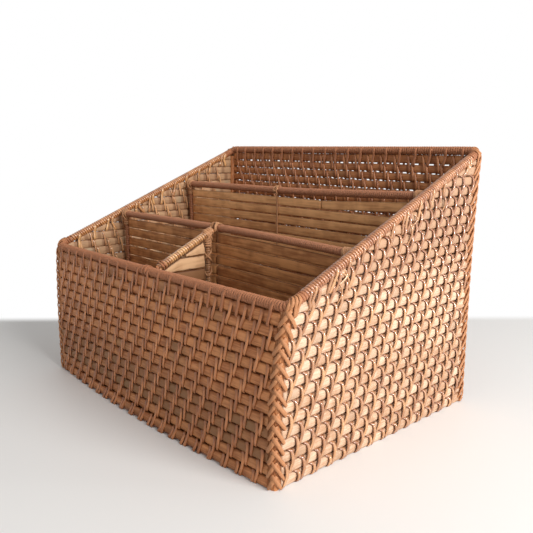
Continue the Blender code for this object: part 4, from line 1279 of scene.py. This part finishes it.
@dataclass
class Corner:
    """One corner: the wrapped elbow of the rims, and the herringbone binding below it."""

    end: Wall
    sign: int
    seed: int
    bend: float = 0.0091
    rim_end: float = 0.0150
    strap_pitch: float = 0.0080
    strap_thickness: float = 0.0012
    apex_spread: float = 0.0009
    least_height: float = 0.0006
    # Dark strips under the straps, painted deep and with the painted shade of crevices, stand in
    # for the shade between the straps.
    liner_width: float = 0.0027
    liner_dark: float = 0.9
    liner_painted_shade: float = 0.8
    tie_arcs: tuple[float, ...] = (-0.0014, 0.0009, 0.0034, 0.0060)
    liner_arcs: tuple[float, ...] = (-0.0070, -0.0046, -0.0023, 0.0, 0.0023, 0.0046, 0.0070)

    @property
    def name(self) -> str:
        """The corner's name, as in front_left."""
        return "{}_{}".format(self.end.value, "left" if self.sign < 0 else "right")

    @property
    def top(self) -> float:
        """Height of the rims' middle line at the corner."""
        full = FORM.front_height if self.end is Wall.FRONT else FORM.back_height
        return full - FORM.rim_radius

    @property
    def rise(self) -> float:
        """Rise of the side wall's rim away from the corner."""
        return FORM.slope if self.end is Wall.FRONT else -FORM.slope

    def build(self) -> None:
        """Builds the elbow and the binding."""
        self.build_elbow()
        self.build_binding()

    def build_elbow(self) -> None:
        """Builds the wrapped elbow."""
        limit = self.bend * math.pi / 4 + self.rim_end - self.bend
        arc = np.linspace(-limit, limit, 60)
        seat = FORM.rim_radius
        from_end = FORM.corner_offsets(arc, seat, self.bend)[1]
        settled = np.minimum(1, 2 * (from_end - seat) / (FORM.rim_seat - seat))
        height = self.top + self.rise * from_end * settled
        axis = FORM.corner(self.end, self.sign, arc, height, seat, self.bend)
        inner = FORM.corner(self.end, self.sign, arc, height, seat + MM, self.bend)
        elbow = Strands("rim_elbow_" + self.name, self.seed)
        Winding(FORM.wrap_radius, dark=0.3, spread=0.35).wind(elbow, axis, axis - inner)
        elbow.finish(RIM.material(), Slot.RIM, ["rim_elbow_" + self.name])

    def build_binding(self) -> None:
        """Builds the herringbone straps, and the ties over the elbow that lead into them."""
        straps = Strands("corner_binding_" + self.name, self.seed + 9)
        count = int(self.top / self.strap_pitch) + 2
        for index in range(count):
            self.add_strap(straps, self.top - 3.0 * MM - index * self.strap_pitch)
        for arc in self.tie_arcs:
            self.add_elbow_tie(straps, arc)
        if self.end is Wall.BACK and self.sign > 0:
            self.add_tail(straps)
        # Liner strips: painted shade in the gaps between the straps.
        height = np.linspace(0.9 * MM, self.top - 1.0 * MM, 50)
        seat = (1.7 if self.sign < 0 else 2.6) * MM
        for arc in self.liner_arcs:
            centre, outer = self.place(0 * height + arc, height, 0 * height + seat)
            straps.add(Path.along(centre, outer, self.liner_width, self.strap_thickness,
                                  self.liner_dark, 0.0, self.liner_painted_shade))
        straps.finish(BINDING.material(), Slot.BINDING, ["corner_binding_" + self.name])

    def place(self, arc: Array, height: Array, depth: Array) -> tuple[Array, Array]:
        """Finds places round the corner that follow the rims' rise.

        Args:
            arc: arc lengths from the corner's middle, above zero on the side wall.
            height: heights at the corner's middle.
            depth: depths inwards.

        Returns:
            The places, and the way out of the corner at each.
        """
        from_end = FORM.corner_offsets(arc, depth, FORM.corner_radius)[1]
        level = height * (1 + 0.6 * self.rise * np.where(arc > 0, from_end, 0) / self.top)
        centre = FORM.corner(self.end, self.sign, arc, level, depth, FORM.corner_radius)
        inner = FORM.corner(self.end, self.sign, arc, level, depth + MM, FORM.corner_radius)
        return centre, unit(centre - inner)

    def add_strap(self, straps: Strands, apex: float) -> None:
        """Adds the two legs of one strap, down each wall from the corner's edge.

        Args:
            straps: the piece.
            apex: height where the two legs meet.
        """
        rng = straps.random
        apex += rng.uniform(-self.apex_spread, self.apex_spread)
        # Each row of a leg: share of its reach, share of its fall, depth in mm, how much painted
        # shade of crevices.
        legs = ((-1, rng.uniform(5.4, 7.2), rng.uniform(7.6, 9.8),
                 ((-0.35, 0.16, 1.5, 0.6), (-0.12, 0.06, 1.0, 0.3), (0.1, -0.06, 0.7, 0.1))),
                (1, rng.uniform(8.0, 9.8), rng.uniform(10.4, 12.8),
                 ((-0.30, 0.20, 1.6, 0.6), (-0.16, 0.10, 0.8, 0.2), (0.0, 0.0, 0.2, 0))))
        ends = ((0.3, -0.28, 0.1, 0), (0.55, -0.54, 0.25, 0), (0.8, -0.80, 0.5, 0),
                (0.95, -0.96, 1.2, 0.4), (1.0, -1.04, 2.6, 1))
        for wing, reach, fall, starts in legs:
            fine = smooth_path(np.array(starts + ends), 3)
            arc = wing * fine[:, 0] * reach * MM
            height = apex + fine[:, 1] * fall * MM
            keep = (height > self.least_height) & (height < self.top + 1.5 * MM)
            if keep.sum() < 6:
                continue
            arc, height, depth, dim = arc[keep], height[keep], fine[keep, 2] * MM, fine[keep, 3]
            centre, outer = self.place(arc, height, depth)
            width = rng.uniform(2.3, 3.0) * MM * np.interp(np.linspace(0, 1, len(arc)),
                                                          [0, 0.2, 0.7, 1], [0.8, 1, 1, 0.6])
            # Painted light: legs on the end wall get paler tones, for the light that catches the
            # corner's rounding; legs on the side wall get deeper ones.
            tone = rng.uniform(-0.3, 0.3) if wing < 0 else rng.uniform(0.0, 0.7)
            straps.add(Path.along(centre, outer, width, self.strap_thickness, tone, 0.0,
                                  0.8 * dim), sides=8, square=2.2, edge=0.6)

    def add_tail(self, straps: Strands) -> None:
        """Adds the loose end of a strap that sticks out of the elbow.

        Args:
            straps: the piece.
        """
        share = np.linspace(0, 1, 14)
        height = self.top + MM * (2.0 - 5.0 * share)
        arc = MM * (-4.5 + 3.0 * share)
        depth = MM * (2.4 - 4.6 * np.sin(share * 2.2))
        centre = FORM.corner(self.end, self.sign, arc, height, depth, self.bend)
        straps.add(Path.along(centre, centre * 0 + (0, 0, 1), 0.0022, 0.0012, 0.3), sides=8)

    def add_elbow_tie(self, straps: Strands, arc: float) -> None:
        """Adds one strap that comes over the elbow and down into the binding.

        Args:
            straps: the piece.
            arc: where it crosses the elbow, as an arc length from the corner's middle.
        """
        rng = straps.random
        lean = rng.uniform(-1.0, 1.0)
        # Each row: along the arc, height and depth in mm, how much painted shade of crevices.
        table = ((0, 2.2, 6.0, 0.4), (0.1, 3.7, 4.4, 0), (0.2, 3.6, 2.2, 0), (0.2, 1.8, 0.2, 0),
                 (0, 0.0, -0.3, 0), (lean, -3.0, 0.2, 0), (1.8 * lean, -6.0, 0.4, 0),
                 (2.6 * lean, -8.6, 1.0, 0.3), (2.8 * lean, -9.6, 2.4, 1))
        fine = smooth_path(np.array(table), 3)
        places = arc + fine[:, 0] * MM
        from_end = FORM.corner_offsets(places, FORM.rim_radius, self.bend)[1]
        settled = min(1.0, 2 * (float(from_end[0]) - FORM.rim_radius) / 0.0040)
        height = self.top + fine[:, 1] * MM + self.rise * from_end * max(settled, 0)
        centre = FORM.corner(self.end, self.sign, places, height, fine[:, 2] * MM, self.bend)
        middle = FORM.corner(self.end, self.sign, places, self.top + 0 * height,
                             FORM.rim_radius + 0 * height, self.bend)
        outer = np.where((fine[:, 1] > -1.0)[:, None], centre - middle,
                         centre - FORM.corner(self.end, self.sign, places, height,
                                              (fine[:, 2] + 1) * MM, self.bend))
        straps.add(Path.along(centre, unit(outer), rng.uniform(1.7, 2.4) * MM, 0.0011,
                              rng.uniform(0.1, 0.9), 0.0, 0.8 * fine[:, 3]), sides=8, square=2.2)


@dataclass
class Panel:
    """Flat bamboo slats of one divider, laid edge to edge."""

    name: str
    seed: int
    finish: CaneFinish
    slot: Slot
    thickness: float = 0.0018

    def __post_init__(self) -> None:
        """Starts the piece."""
        self.strands = Strands(self.name, self.seed)

    def board(self, line: Array, low: Array, high: Array, dark: float = 0.5,
              shade: float = 0.0) -> None:
        """Adds one slat.

        Args:
            line: x and y along its middle, in rows.
            low: its lower edge at each.
            high: its upper edge at each.
            dark: how deep its colour is.
            shade: how much painted shade of crevices it takes.
        """
        rng = self.strands.random
        count = len(line)
        run = np.linspace(0, 1, count)
        noise = [np.interp(run, np.linspace(0, 1, 9), [rng.uniform(-1, 1) for _ in range(9)])
                 for _ in range(4)]
        tangent = unit(np.gradient(line, axis=0))
        normal = np.stack([tangent[:, 1], -tangent[:, 0], 0 * run], axis=-1)
        low = low + 0.22 * MM * noise[0]
        high = np.maximum(high + 0.22 * MM * noise[1], low + 0.6 * MM)
        bulge = (0.12 * MM * noise[2])[:, None]
        centre = np.column_stack([line, (low + high) / 2]) + normal * bulge
        knots = sum(np.exp(-((run - rng.random()) / 0.012) ** 2) for _ in range(2))
        tone = dark + rng.uniform(-0.2, 0.2) + 0.10 * noise[3] + 0.2 * knots
        # Painted shade darkens the slat's two edges and, by its shade argument, the whole slat.
        self.strands.add(Path.along(centre, normal, high - low, self.thickness, tone, 0.0, shade),
                         sides=12, square=5.0, edge=0.9)

    def finish_piece(self, nodes: list[str]) -> None:
        """Makes the piece, in place of CAD nodes."""
        self.strands.finish(self.finish.material(), self.slot, nodes)


def add_loop(strands: Strands, centre: Vector, across: Vector, along: Vector, drift: Vector,
             width: float = 0.0016, turns: float = 1.1, start: float = 0.0) -> None:
    """Adds one turn of cane round something.

    Args:
        strands: the piece.
        centre: the middle of the turn.
        across: first half axis of the turn, with its length.
        along: second half axis, with its length.
        drift: how far the cane moves on in a turn.
        width: width of the cane.
        turns: how many turns.
        start: angle where it starts.
    """
    angle = start + np.linspace(0, 2 * math.pi * turns, int(24 * turns) + 1)
    share = (np.linspace(0, turns, len(angle)) - turns / 2)[:, None]
    radial = np.outer(np.cos(angle), across) + np.outer(np.sin(angle), along)
    places = np.array(centre) + radial + share * np.array(drift)
    strands.add(Path.along(places, unit(radial), width, 0.0009,
                           strands.random.uniform(0.1, 0.8)), sides=6, square=2.2)


@dataclass(frozen=True)
class Rails:
    """Lines of the dividers' rails, and what stands under them."""

    rear_y: float = 0.046013
    front_y: float = -0.031987
    end_x: float = 0.14365
    slat_x: float = 0.1397
    short_x: float = 0.0020
    stick_y: float = -0.041487
    bottom: float = 0.0043
    rail_x: float = 0.1478
    stick_foot: float = 0.0098
    rear_rows: int = 19
    rear_top: float = 0.1630
    rear_pitch: float = 0.0084
    rear_slat: float = 0.0076
    split_x: float = 0.0460
    split_gap: float = 0.0008
    split_lift: float = 0.0042
    knot_x: float = -0.0080
    front_rows: int = 15
    front_top: float = 0.1380
    front_pitch: float = 0.0090
    front_slat: float = 0.0076
    front_wide_slat: float = 0.0081
    short_rows: int = 13
    short_foot: float = 0.0046
    short_pitch: float = 0.0107
    short_slat: float = 0.0097
    short_start_y: float = -0.0888
    short_end_y: float = -0.0363
    short_rim_y: float = -0.0868
    rear_level: float = 0.1687
    rear_lift: float = 0.0040
    front_level: float = 0.1428
    front_sag: float = 0.0039
    half_width: float = 0.1525
    short_level: float = 0.1152
    short_foot_y: float = -0.09127
    short_slope: float = 0.4775
    short_stretch: float = 1.108
    rear_radius: float = 0.0032
    front_radius: float = 0.0031
    short_radius: float = 0.0028
    stick_radius: float = 0.00225

    def rear_height(self, x: Array) -> Array:
        """Height of the rear rail's middle line."""
        return self.rear_level + self.rear_lift * (np.maximum(x, 0) / self.half_width) ** 1.3

    def front_height(self, x: Array) -> Array:
        """Height of the front rail's middle line."""
        return self.front_level - self.front_sag * (np.maximum(x, 0) / self.half_width) ** 1.6

    def short_height(self, y: Array) -> Array:
        """Height of the short rail's middle line, by the distance to the back."""
        return self.short_level + self.short_slope * (y - self.short_foot_y)

    @property
    def short_way(self) -> Vector:
        """The way up along the short rail."""
        return Vector((0, 1, self.short_slope)).normalized()

    @property
    def short_over(self) -> Vector:
        """The way up across the short rail."""
        return Vector((0, -self.short_slope, 1)).normalized()


RAILS = Rails()


@dataclass
class CrossDivider:
    """Rear or front divider: wound rail, slats, wound end sticks and their lashings."""

    name: str
    seed: int

    @property
    def rear(self) -> bool:
        """Whether it is the rear divider."""
        return self.name == "rear"

    @property
    def y(self) -> float:
        """Where it stands, from front to back."""
        return RAILS.rear_y if self.rear else RAILS.front_y

    @property
    def radius(self) -> float:
        """Radius of its rail."""
        return RAILS.rear_radius if self.rear else RAILS.front_radius

    def height(self, x: Array) -> Array:
        """Height of its rail's middle line."""
        return RAILS.rear_height(x) if self.rear else RAILS.front_height(x)

    def build(self) -> None:
        """Builds every piece of the divider."""
        self.build_rail()
        self.build_ends()
        if self.rear:
            self.build_rear_slats()
            self.build_knot()
        else:
            self.build_front_slats()
            self.build_junction()

    def build_rail(self) -> None:
        """Builds the wound rail."""
        x = np.linspace(-RAILS.rail_x, RAILS.rail_x, 80)
        axis = np.column_stack([x, 0 * x + self.y, self.height(x)])
        rail = Strands(self.name + "_rail_wrap", self.seed)
        Winding(self.radius, pitch=0.0019, width=0.0019, thickness=0.0010, dark=0.5,
                spread=0.35).wind(rail, axis, axis * 0 + (0, 0, 1))
        rail.finish(RAIL.material(), Slot.RAIL, [self.name + "_rail_wrap"])

    def build_ends(self) -> None:
        """Builds the sticks under the rail's ends and their lashings."""
        for side, sign in (("left", -1), ("right", 1)):
            x = sign * RAILS.end_x
            top = float(self.height(np.array(x)))
            z = np.linspace(RAILS.stick_foot, top - self.radius - 0.0012, 60)
            axis = np.column_stack([0 * z + x, 0 * z + self.y, z])
            stick = Strands("{}_stick_{}".format(self.name, side), self.seed + 2 + sign)
            Winding(RAILS.stick_radius, pitch=0.0019, thickness=0.0008,
                    dark=0.6).wind(stick, axis, axis * 0 + (0, -1, 0))
            stick.finish(RAIL.material(), Slot.ROD, ["{}_stick_{}".format(self.name, side)])
            lashing = Strands("{}_lashing_{}".format(self.name, side), self.seed + 6 + sign)
            middle = Vector((x, self.y, top))
            for step in range(4):
                at = middle + Vector(((step - 1.5) * 1.8 * MM, 0, 0))
                add_loop(lashing, at, Vector((0, self.radius + 0.5 * MM, 0)),
                         Vector((0, 0, self.radius + 0.5 * MM)), Vector((0.9 * MM, 0, 0)), 0.0018)
            for step in range(4):
                at = middle - Vector((0, 0, self.radius + (1.6 + 1.8 * step) * MM))
                add_loop(lashing, at, Vector((RAILS.stick_radius + 0.5 * MM, 0, 0)),
                         Vector((0, RAILS.stick_radius + 0.5 * MM, 0)),
                         Vector((0, 0, 0.9 * MM)), 0.0018)
            for lean in (-1, 1):
                add_loop(lashing, middle - Vector((0, 0, 1.6 * MM)),
                         Vector((lean * 3.4 * MM, 0, 5.0 * MM)),
                         Vector((0, self.radius + 1.3 * MM, 0)), Vector((0.4 * MM, 0, 0)), 0.0019)
            lashing.finish(LASHING.material(), Slot.LASHING,
                           ["{}_lashing_{}".format(self.name, side)])

    def build_rear_slats(self) -> None:
        """Builds the rear slats; the top one is in two, and its right part tilts up."""
        panel = Panel("rear_divider_slats", self.seed + 10, DARK_BAMBOO, Slot.REAR)
        whole = ((-RAILS.slat_x, RAILS.slat_x),)
        split = ((-RAILS.slat_x, RAILS.split_x - RAILS.split_gap / 2),
                 (RAILS.split_x + RAILS.split_gap / 2, RAILS.slat_x))
        for index in range(RAILS.rear_rows):
            high = RAILS.rear_top - index * RAILS.rear_pitch
            low = max(high - RAILS.rear_slat, RAILS.bottom)
            for start, end in split if index == 0 else whole:
                x = np.linspace(start, end, 60)
                lift = 0 * x
                if index == 0 and start > 0:
                    lift = RAILS.split_lift * ((x - start) / (end - start)) ** 1.1
                panel.board(np.column_stack([x, 0 * x + self.y]), low + lift, high + lift, 0.42)
        panel.finish_piece(["rear_slats"])

    def build_knot(self) -> None:
        """Builds the knot on the rear rail and its dark tie strand down over the slats."""
        knot = Strands("rear_knot", self.seed + 11)
        x = RAILS.knot_x
        middle = Vector((x, self.y, float(self.height(np.array(x)))))
        for step, lean in ((-1.3, 1.2), (0.3, -1.0), (1.6, 0.6)):
            add_loop(knot, middle + Vector((step * MM, 0, 0)),
                     Vector((lean * MM, self.radius + 0.55 * MM, 0)),
                     Vector((0, 0, self.radius + 0.55 * MM)), Vector((0.8 * MM, 0, 0)), 0.0015)
        add_loop(knot, middle + Vector((0.6 * MM, -3.6 * MM, 0.8 * MM)),
                 Vector((1.7 * MM, 0, 0.6 * MM)), Vector((0, 0.9 * MM, 1.3 * MM)),
                 Vector((0.5 * MM, 0, 0)), 0.0013)
        z = np.linspace(middle.z - 2.6 * MM, RAILS.bottom, 70)
        face = self.y - 1.45 * MM - 1.4 * MM * np.exp(-(z[0] - z) / (1.6 * MM))
        strand = np.column_stack([x + 0.25 * MM * np.sin(z * 260), face, z])
        knot.add(Path.along(strand, strand * 0 + (0, -1, 0), 0.0021, 0.0008, 1.0, 0.0, 0.6),
                 sides=6, square=2.4)
        knot.finish(LASHING.material(), Slot.LASHING, ["rear_knot"])

    def build_front_slats(self) -> None:
        """Builds the two runs of front slats."""
        for side, start, end in (("left", -RAILS.slat_x, RAILS.short_x - 0.9 * MM),
                                 ("right", RAILS.short_x + 0.9 * MM, RAILS.slat_x)):
            panel = Panel("front_divider_slats_" + side, self.seed + (12 if start < 0 else 13),
                          BAMBOO, Slot.MIDDLE)
            x = np.linspace(start, end, 40)
            share = (self.height(x) - RAILS.bottom) / (RAILS.front_level - RAILS.bottom)
            for index in range(RAILS.front_rows):
                high = RAILS.front_top - index * RAILS.front_pitch - RAILS.bottom
                low = max(high - (RAILS.front_slat if index % 3 else RAILS.front_wide_slat), 0)
                panel.board(np.column_stack([x, 0 * x + self.y]), RAILS.bottom + low * share,
                            RAILS.bottom + high * share, 0.5)
            panel.finish_piece(["front_slats_" + side])

    def build_junction(self) -> None:
        """Builds the lashing where the short rail meets the front rail."""
        lashing = Strands("junction_lashing", self.seed + 14)
        middle = Vector((RAILS.short_x, self.y, float(self.height(np.array(RAILS.short_x)))))
        for step in (-3.6, -1.9, 2.0, 3.7):
            add_loop(lashing, middle + Vector((step * MM, 0, 0)),
                     Vector((0, self.radius + 0.6 * MM, 0)),
                     Vector((0, 0, self.radius + 0.6 * MM)), Vector((0.6 * MM, 0, 0)), 0.0019)
        for lean in (-1, 1):
            add_loop(lashing, middle + Vector((0, -1.2 * MM, 0)),
                     Vector((lean * 3.6 * MM, -3.2 * MM, 0.4 * MM)),
                     Vector((0, 1.2 * MM, self.radius + 1.1 * MM)), Vector((0, 0, 0)), 0.0019)
        lashing.finish(LASHING.material(), Slot.LASHING, ["junction_lashing"])


@dataclass
class ShortDivider:
    """Short divider from the front rim up to the front rail, with its wrapped post."""

    seed: int

    def rail_point(self, y: float) -> Vector:
        """Point on the rail's middle line."""
        return Vector((RAILS.short_x, y, float(RAILS.short_height(np.array(y)))))

    def build(self) -> None:
        """Builds the rail, slats, post and lashings."""
        low = self.rail_point(RAILS.short_start_y)
        high = self.rail_point(RAILS.short_end_y)
        axis = np.linspace(low, high, 30)
        rail = Strands("short_rail_wrap", self.seed)
        Winding(RAILS.short_radius + 0.0003, pitch=0.0021, width=0.0021, thickness=0.0013,
                dark=0.4, spread=0.4).wind(rail, axis, axis * 0 + (1, 0, 0))
        rail.finish(GOLD.material(), Slot.RAIL, ["short_rail_wrap"])
        self.build_slats()
        self.build_post()
        self.build_rim_lashing()

    def build_slats(self) -> None:
        """Builds the slats, cut to the rail's slope and to the front wall's inside."""
        panel = Panel("short_divider_slats", self.seed + 1, PALE_BAMBOO, Slot.MIDDLE)
        end = RAILS.stick_y - RAILS.stick_radius - 1.85 * MM
        for index in range(RAILS.short_rows):
            low = RAILS.short_foot + index * RAILS.short_pitch
            high = low + RAILS.short_slat
            level = min((low + high) / 2, 111 * MM)
            start = float(FORM.front(np.array(0.002), np.array(level), np.array(5.6 * MM))[1])
            if low < 10 * MM:
                start += 6.5 * MM
            y = np.linspace(start, end, 50)
            ceiling = RAILS.short_height(y) - (RAILS.short_radius + 1.6 * MM) * RAILS.short_stretch
            y = y[ceiling > low + 0.8 * MM]
            if len(y) < 8:
                continue
            ceiling = RAILS.short_height(y) - (RAILS.short_radius + 1.6 * MM) * RAILS.short_stretch
            # Painted light and shade: the top slats are pale where light falls over the rim; the
            # lower ones are deep and take the painted shade of crevices.
            panel.board(np.column_stack([0 * y + RAILS.short_x, y]), low + 0 * y,
                        np.minimum(high, ceiling), 0.3 if index > 9 else 1.2,
                        0.0 if index > 9 else 0.55)
        panel.finish_piece(["short_slats"])

    def build_post(self) -> None:
        """Builds the wrapped post with its crossed lashings."""
        top = self.rail_point(RAILS.stick_y)
        z = np.linspace(0.0045, top.z - RAILS.short_radius - 1.2 * MM, 60)
        axis = np.column_stack([0 * z + RAILS.short_x, 0 * z + RAILS.stick_y, z])
        post = Strands("centre_stick", self.seed + 2)
        Winding(0.0024, pitch=0.0019, thickness=0.0008, dark=0.5).wind(
            post, axis, axis * 0 + (0, -1, 0))
        post.finish(POST.material(), Slot.ROD, ["centre_stick"])
        lashing = Strands("centre_lashing", self.seed + 3)
        slope, over = RAILS.short_way, RAILS.short_over
        for step in (-2.6, -0.9, 0.9, 2.6):
            add_loop(lashing, top + slope * step * MM,
                     Vector((RAILS.short_radius + 0.5 * MM, 0, 0)),
                     over * (RAILS.short_radius + 0.5 * MM), slope * 0.8 * MM, 0.0018)
        for step in range(4):
            add_loop(lashing, top - Vector((0, 0, (4.6 + 1.9 * step) * MM)),
                     Vector((2.9 * MM, 0, 0)), Vector((0, 2.9 * MM, 0)),
                     Vector((0, 0, 0.9 * MM)), 0.0018)
        for lean in (-1, 1):
            add_loop(lashing, top - Vector((0, 0, 1.8 * MM)), Vector((3.6 * MM, 0, 0)),
                     Vector((0, lean * 3.6 * MM, 4.6 * MM)), Vector((0, 0, 0)), 0.0018)
        part = axis[z > top.z - 0.036]
        for hand in (-1, 1):
            Winding(0.0033, pitch=0.0165, width=0.0016, thickness=0.0008, dark=0.2, stations=24,
                    hand=hand, filled=False).wind(lashing, part, part * 0 + (0.7, -0.7, 0))
        lashing.finish(LASHING.material(), Slot.LASHING, ["centre_lashing"])

    def build_rim_lashing(self) -> None:
        """Builds the lashing over the front rim where the rail meets it."""
        lashing = Strands("rim_lashing", self.seed + 4)
        x = RAILS.short_x
        height = FORM.front_height - FORM.rim_radius
        middle = Vector(FORM.front(np.array(x), np.array(height), np.array(FORM.rim_radius)))
        for step in (-2.1, 2.3):
            add_loop(lashing, middle + Vector((step * MM, 0, 0)),
                     Vector((0, 3.9 * MM, 0)), Vector((0, 0, 3.9 * MM)),
                     Vector((0.7 * MM, 0, 0)), 0.0019)
        slope, over = RAILS.short_way, RAILS.short_over
        for step in (0.4, 2.6):
            add_loop(lashing, self.rail_point(RAILS.short_rim_y) + slope * step * MM,
                     Vector((RAILS.short_radius + 0.8 * MM, 0, 0)),
                     over * (RAILS.short_radius + 0.8 * MM), slope * 0.5 * MM, 0.0015)
        lashing.finish(RIM.material(), Slot.LASHING, ["rim_lashing"])


def make_camera() -> None:
    """Sets the camera where the photograph's perspective puts it."""
    place = Vector((0.41049, -0.34332, 0.20973))
    aim = Vector((-0.085895, 0.101197, 0.080000))
    roll = math.radians(-0.19926)
    data = bpy.data.cameras.new("camera")
    data.sensor_width = 36
    data.lens = 42.53
    camera = bpy.data.objects.new("camera", data)
    bpy.context.scene.collection.objects.link(camera)
    turn = (aim - place).to_track_quat("-Z", "Y").to_matrix() @ Matrix.Rotation(roll, 3, "Z")
    camera.matrix_world = Matrix.Translation(place) @ turn.to_4x4()
    bpy.context.scene.camera = camera


def make_floor() -> None:
    """Makes the pale floor, which fades to white behind the basket and far from it."""
    sheet = bmesh.new()
    bmesh.ops.create_grid(sheet, x_segments=2, y_segments=2, size=6)
    mesh = bpy.data.meshes.new("floor")
    sheet.to_mesh(mesh)
    sheet.free()
    floor = bpy.data.objects.new("floor", mesh)
    bpy.context.scene.collection.objects.link(floor)
    material = bpy.data.materials.new("floor")
    material.use_nodes = True
    shader = material.node_tree.nodes["Principled BSDF"]
    shader.inputs["Base Color"].default_value = (0.80, 0.80, 0.80, 1)
    shader.inputs["Roughness"].default_value = 0.6
    make = Shader(material.node_tree)
    place = make.node("ShaderNodeTexCoord").outputs["Object"]
    away = make.node("ShaderNodeVectorMath", {0: place, 1: (-0.745, 0.667, 0.0)},
                     operation="DOT_PRODUCT").outputs["Value"]
    glow = make.node("ShaderNodeEmission", {"Color": (1, 1, 1, 1), "Strength": 1.0})
    far = make.node("ShaderNodeVectorMath", {0: place}, operation="LENGTH").outputs["Value"]
    fade = make.math("MAXIMUM", make.ramp(away, 0.194, 0.222), make.ramp(far, 0.45, 1.0))
    blend = make.node("ShaderNodeMixShader", {0: fade, 1: shader.outputs[0],
                                              2: glow.outputs[0]})
    output = material.node_tree.nodes["Material Output"]
    material.node_tree.links.new(blend.outputs[0], output.inputs["Surface"])
    mesh.materials.append(material)


def make_surroundings() -> None:
    """Makes a soft light from all round that the camera and reflections see as white."""
    world = bpy.data.worlds.new("studio")
    bpy.context.scene.world = world
    world.use_nodes = True
    tree = world.node_tree
    tree.nodes.clear()
    make = Shader(tree)
    rays = make.node("ShaderNodeLightPath").outputs
    seen = make.math("MAXIMUM", rays["Is Camera Ray"],
                     make.math("MAXIMUM", rays["Is Glossy Ray"], rays["Is Transmission Ray"]))
    soft = make.node("ShaderNodeBackground", {"Color": (1.0, 0.98, 0.95, 1), "Strength": 0.40})
    white = make.node("ShaderNodeBackground", {"Color": (1, 1, 1, 1), "Strength": 1.0})
    both = make.node("ShaderNodeMixShader", {0: seen, 1: soft.outputs[0], 2: white.outputs[0]})
    make.node("ShaderNodeOutputWorld", {"Surface": both.outputs[0]})


@dataclass(frozen=True)
class Lamp:
    """Round lamp that shines on the middle of the basket."""

    name: str
    place: tuple[float, float, float]
    size: float
    power: float
    colour: Colour
    aim: tuple[float, float, float] = (0.0, 0.0, 0.08)

    def light(self) -> None:
        """Makes the lamp."""
        lamp = bpy.data.lights.new(self.name, "AREA")
        lamp.shape = "DISK"
        lamp.size = self.size
        lamp.energy = self.power
        lamp.color = self.colour
        holder = bpy.data.objects.new(self.name, lamp)
        bpy.context.scene.collection.objects.link(holder)
        holder.location = self.place
        way = Vector(self.aim) - Vector(self.place)
        holder.rotation_euler = way.to_track_quat("-Z", "Y").to_euler()


LAMPS = (Lamp("window", (1.20, 0.05, 0.72), 0.8, 20.5, (1.0, 0.98, 0.95)),
         Lamp("glint", (0.95, 0.65, 0.12), 0.12, 3.0, (1.0, 0.99, 0.97)),
         Lamp("fill", (0.1, -1.3, 0.9), 1.2, 1.0, (1.0, 0.97, 0.94)))


def build_walls() -> None:
    """Builds the slats and stitches of the four walls."""
    # The front and back walls use the shaded copies of the cane, whose deeper colours are painted
    # shade.
    WallWeave(Wall.FRONT, 11, strand_width=0.0026, strand_thickness=0.0008, reach=1.9, lean=2.0,
              pinching=0.3, slat_near=0.0010, slat_finish=SHADE_SLAT,
              stitch_finish=SHADE_STITCH, row_dark={9: 0.75, 11: 0.8, 12: 0.2, 13: 0.2},
              row_grey={7: 0.1, 8: 0.15, 9: 0.5, 10: 0.3, 11: 0.6, 12: 0.15},
              gloom=Gloom(floor=0.28)).build()
    # The right wall's colours are painted deeper towards its top as painted shade, and deeper
    # towards the floor.
    WallWeave(Wall.RIGHT, 12, pinching=0.4, slat_gap=0.0006, edge=0.6,
              gloom=Gloom(floor=0.25, rim=1.2)).build()
    WallWeave(Wall.BACK, 13, pinching=0.1, slat_gap=0.0008, bow=0.6, slat_step=0.0012,
              strand_sides=5, slat_finish=SHADE_SLAT, stitch_finish=SHADE_STITCH).build()
    rows = FORM.front_rows + FORM.upper_rows
    WallWeave(Wall.LEFT, 14, strand_width=0.0021, strand_thickness=0.0008, pinching=0.0,
              slat_gap=-0.0002, bow=0.4, slat_finish=INNER_SLAT, stitch_finish=INNER_STITCH,
              row_grey={row: 0.35 for row in range(rows)}).build()


def build_rims() -> None:
    """Builds the four wrapped rims and the four corners between them."""
    Rim(Wall.FRONT, 21, light=((0, 0), (0.258, 0), (0.262, 0.45), (0.305, 0.45))).build()
    Rim(Wall.RIGHT, 22, tie_pitch=0.0155, finish=PINK_RIM, tie_finish=STITCH,
        light=((0, 0), (0.05, -0.1), (0.07, 0.1), (0.215, 0.15)),
        strays=(0.043, 0.049, 0.052, 0.057, 0.096, 0.118, 0.124, 0.131, 0.160)).build()
    Rim(Wall.BACK, 23).build()
    Rim(Wall.LEFT, 24, tie_pitch=0.0155, finish=ORANGE_RIM, tie_finish=GOLD).build()
    ends = ((Wall.FRONT, -1), (Wall.FRONT, 1), (Wall.BACK, -1), (Wall.BACK, 1))
    for seed, (end, sign) in enumerate(ends, 31):
        Corner(end, sign, seed).build()


def dress_nodes() -> None:
    """Gives every node of the frame a cane finish, with the grain along the piece."""
    finishes = {Slot.RIM: RIM, Slot.BINDING: BINDING, Slot.REAR: DARK_BAMBOO,
                Slot.MIDDLE: BAMBOO, Slot.BASE: BAMBOO, Slot.RAIL: RAIL, Slot.LASHING: LASHING,
                Slot.ROD: SHADE_SLAT, Slot.WALL: SHADE_SLAT}
    slots = {s["node"]: Slot(s["material_slot"]) for s in frame["record"]["subparts"]}
    for name, node in frame["nodes"].items():
        node.data.materials.clear()
        grain = Grain.X
        if name.startswith("corner_post"):
            grain = Grain.Z
        elif name in ("base_rod_left", "base_rod_right", "rim_core_left", "rim_core_right",
                      "short_rail_core"):
            grain = Grain.Y
        node.data.materials.append(finishes[slots[name]].material(grain))


def main() -> None:
    """Builds the scene."""
    logging.basicConfig(level=logging.INFO, format="%(message)s")
    make_camera()
    make_floor()
    make_surroundings()
    for lamp in LAMPS:
        lamp.light()
    bpy.context.scene.view_settings.view_transform = "Standard"
    build_walls()
    build_rims()
    CrossDivider("rear", 51).build()
    CrossDivider("front", 71).build()
    ShortDivider(91).build()
    dress_nodes()


if __name__ == "__main__":
    main()
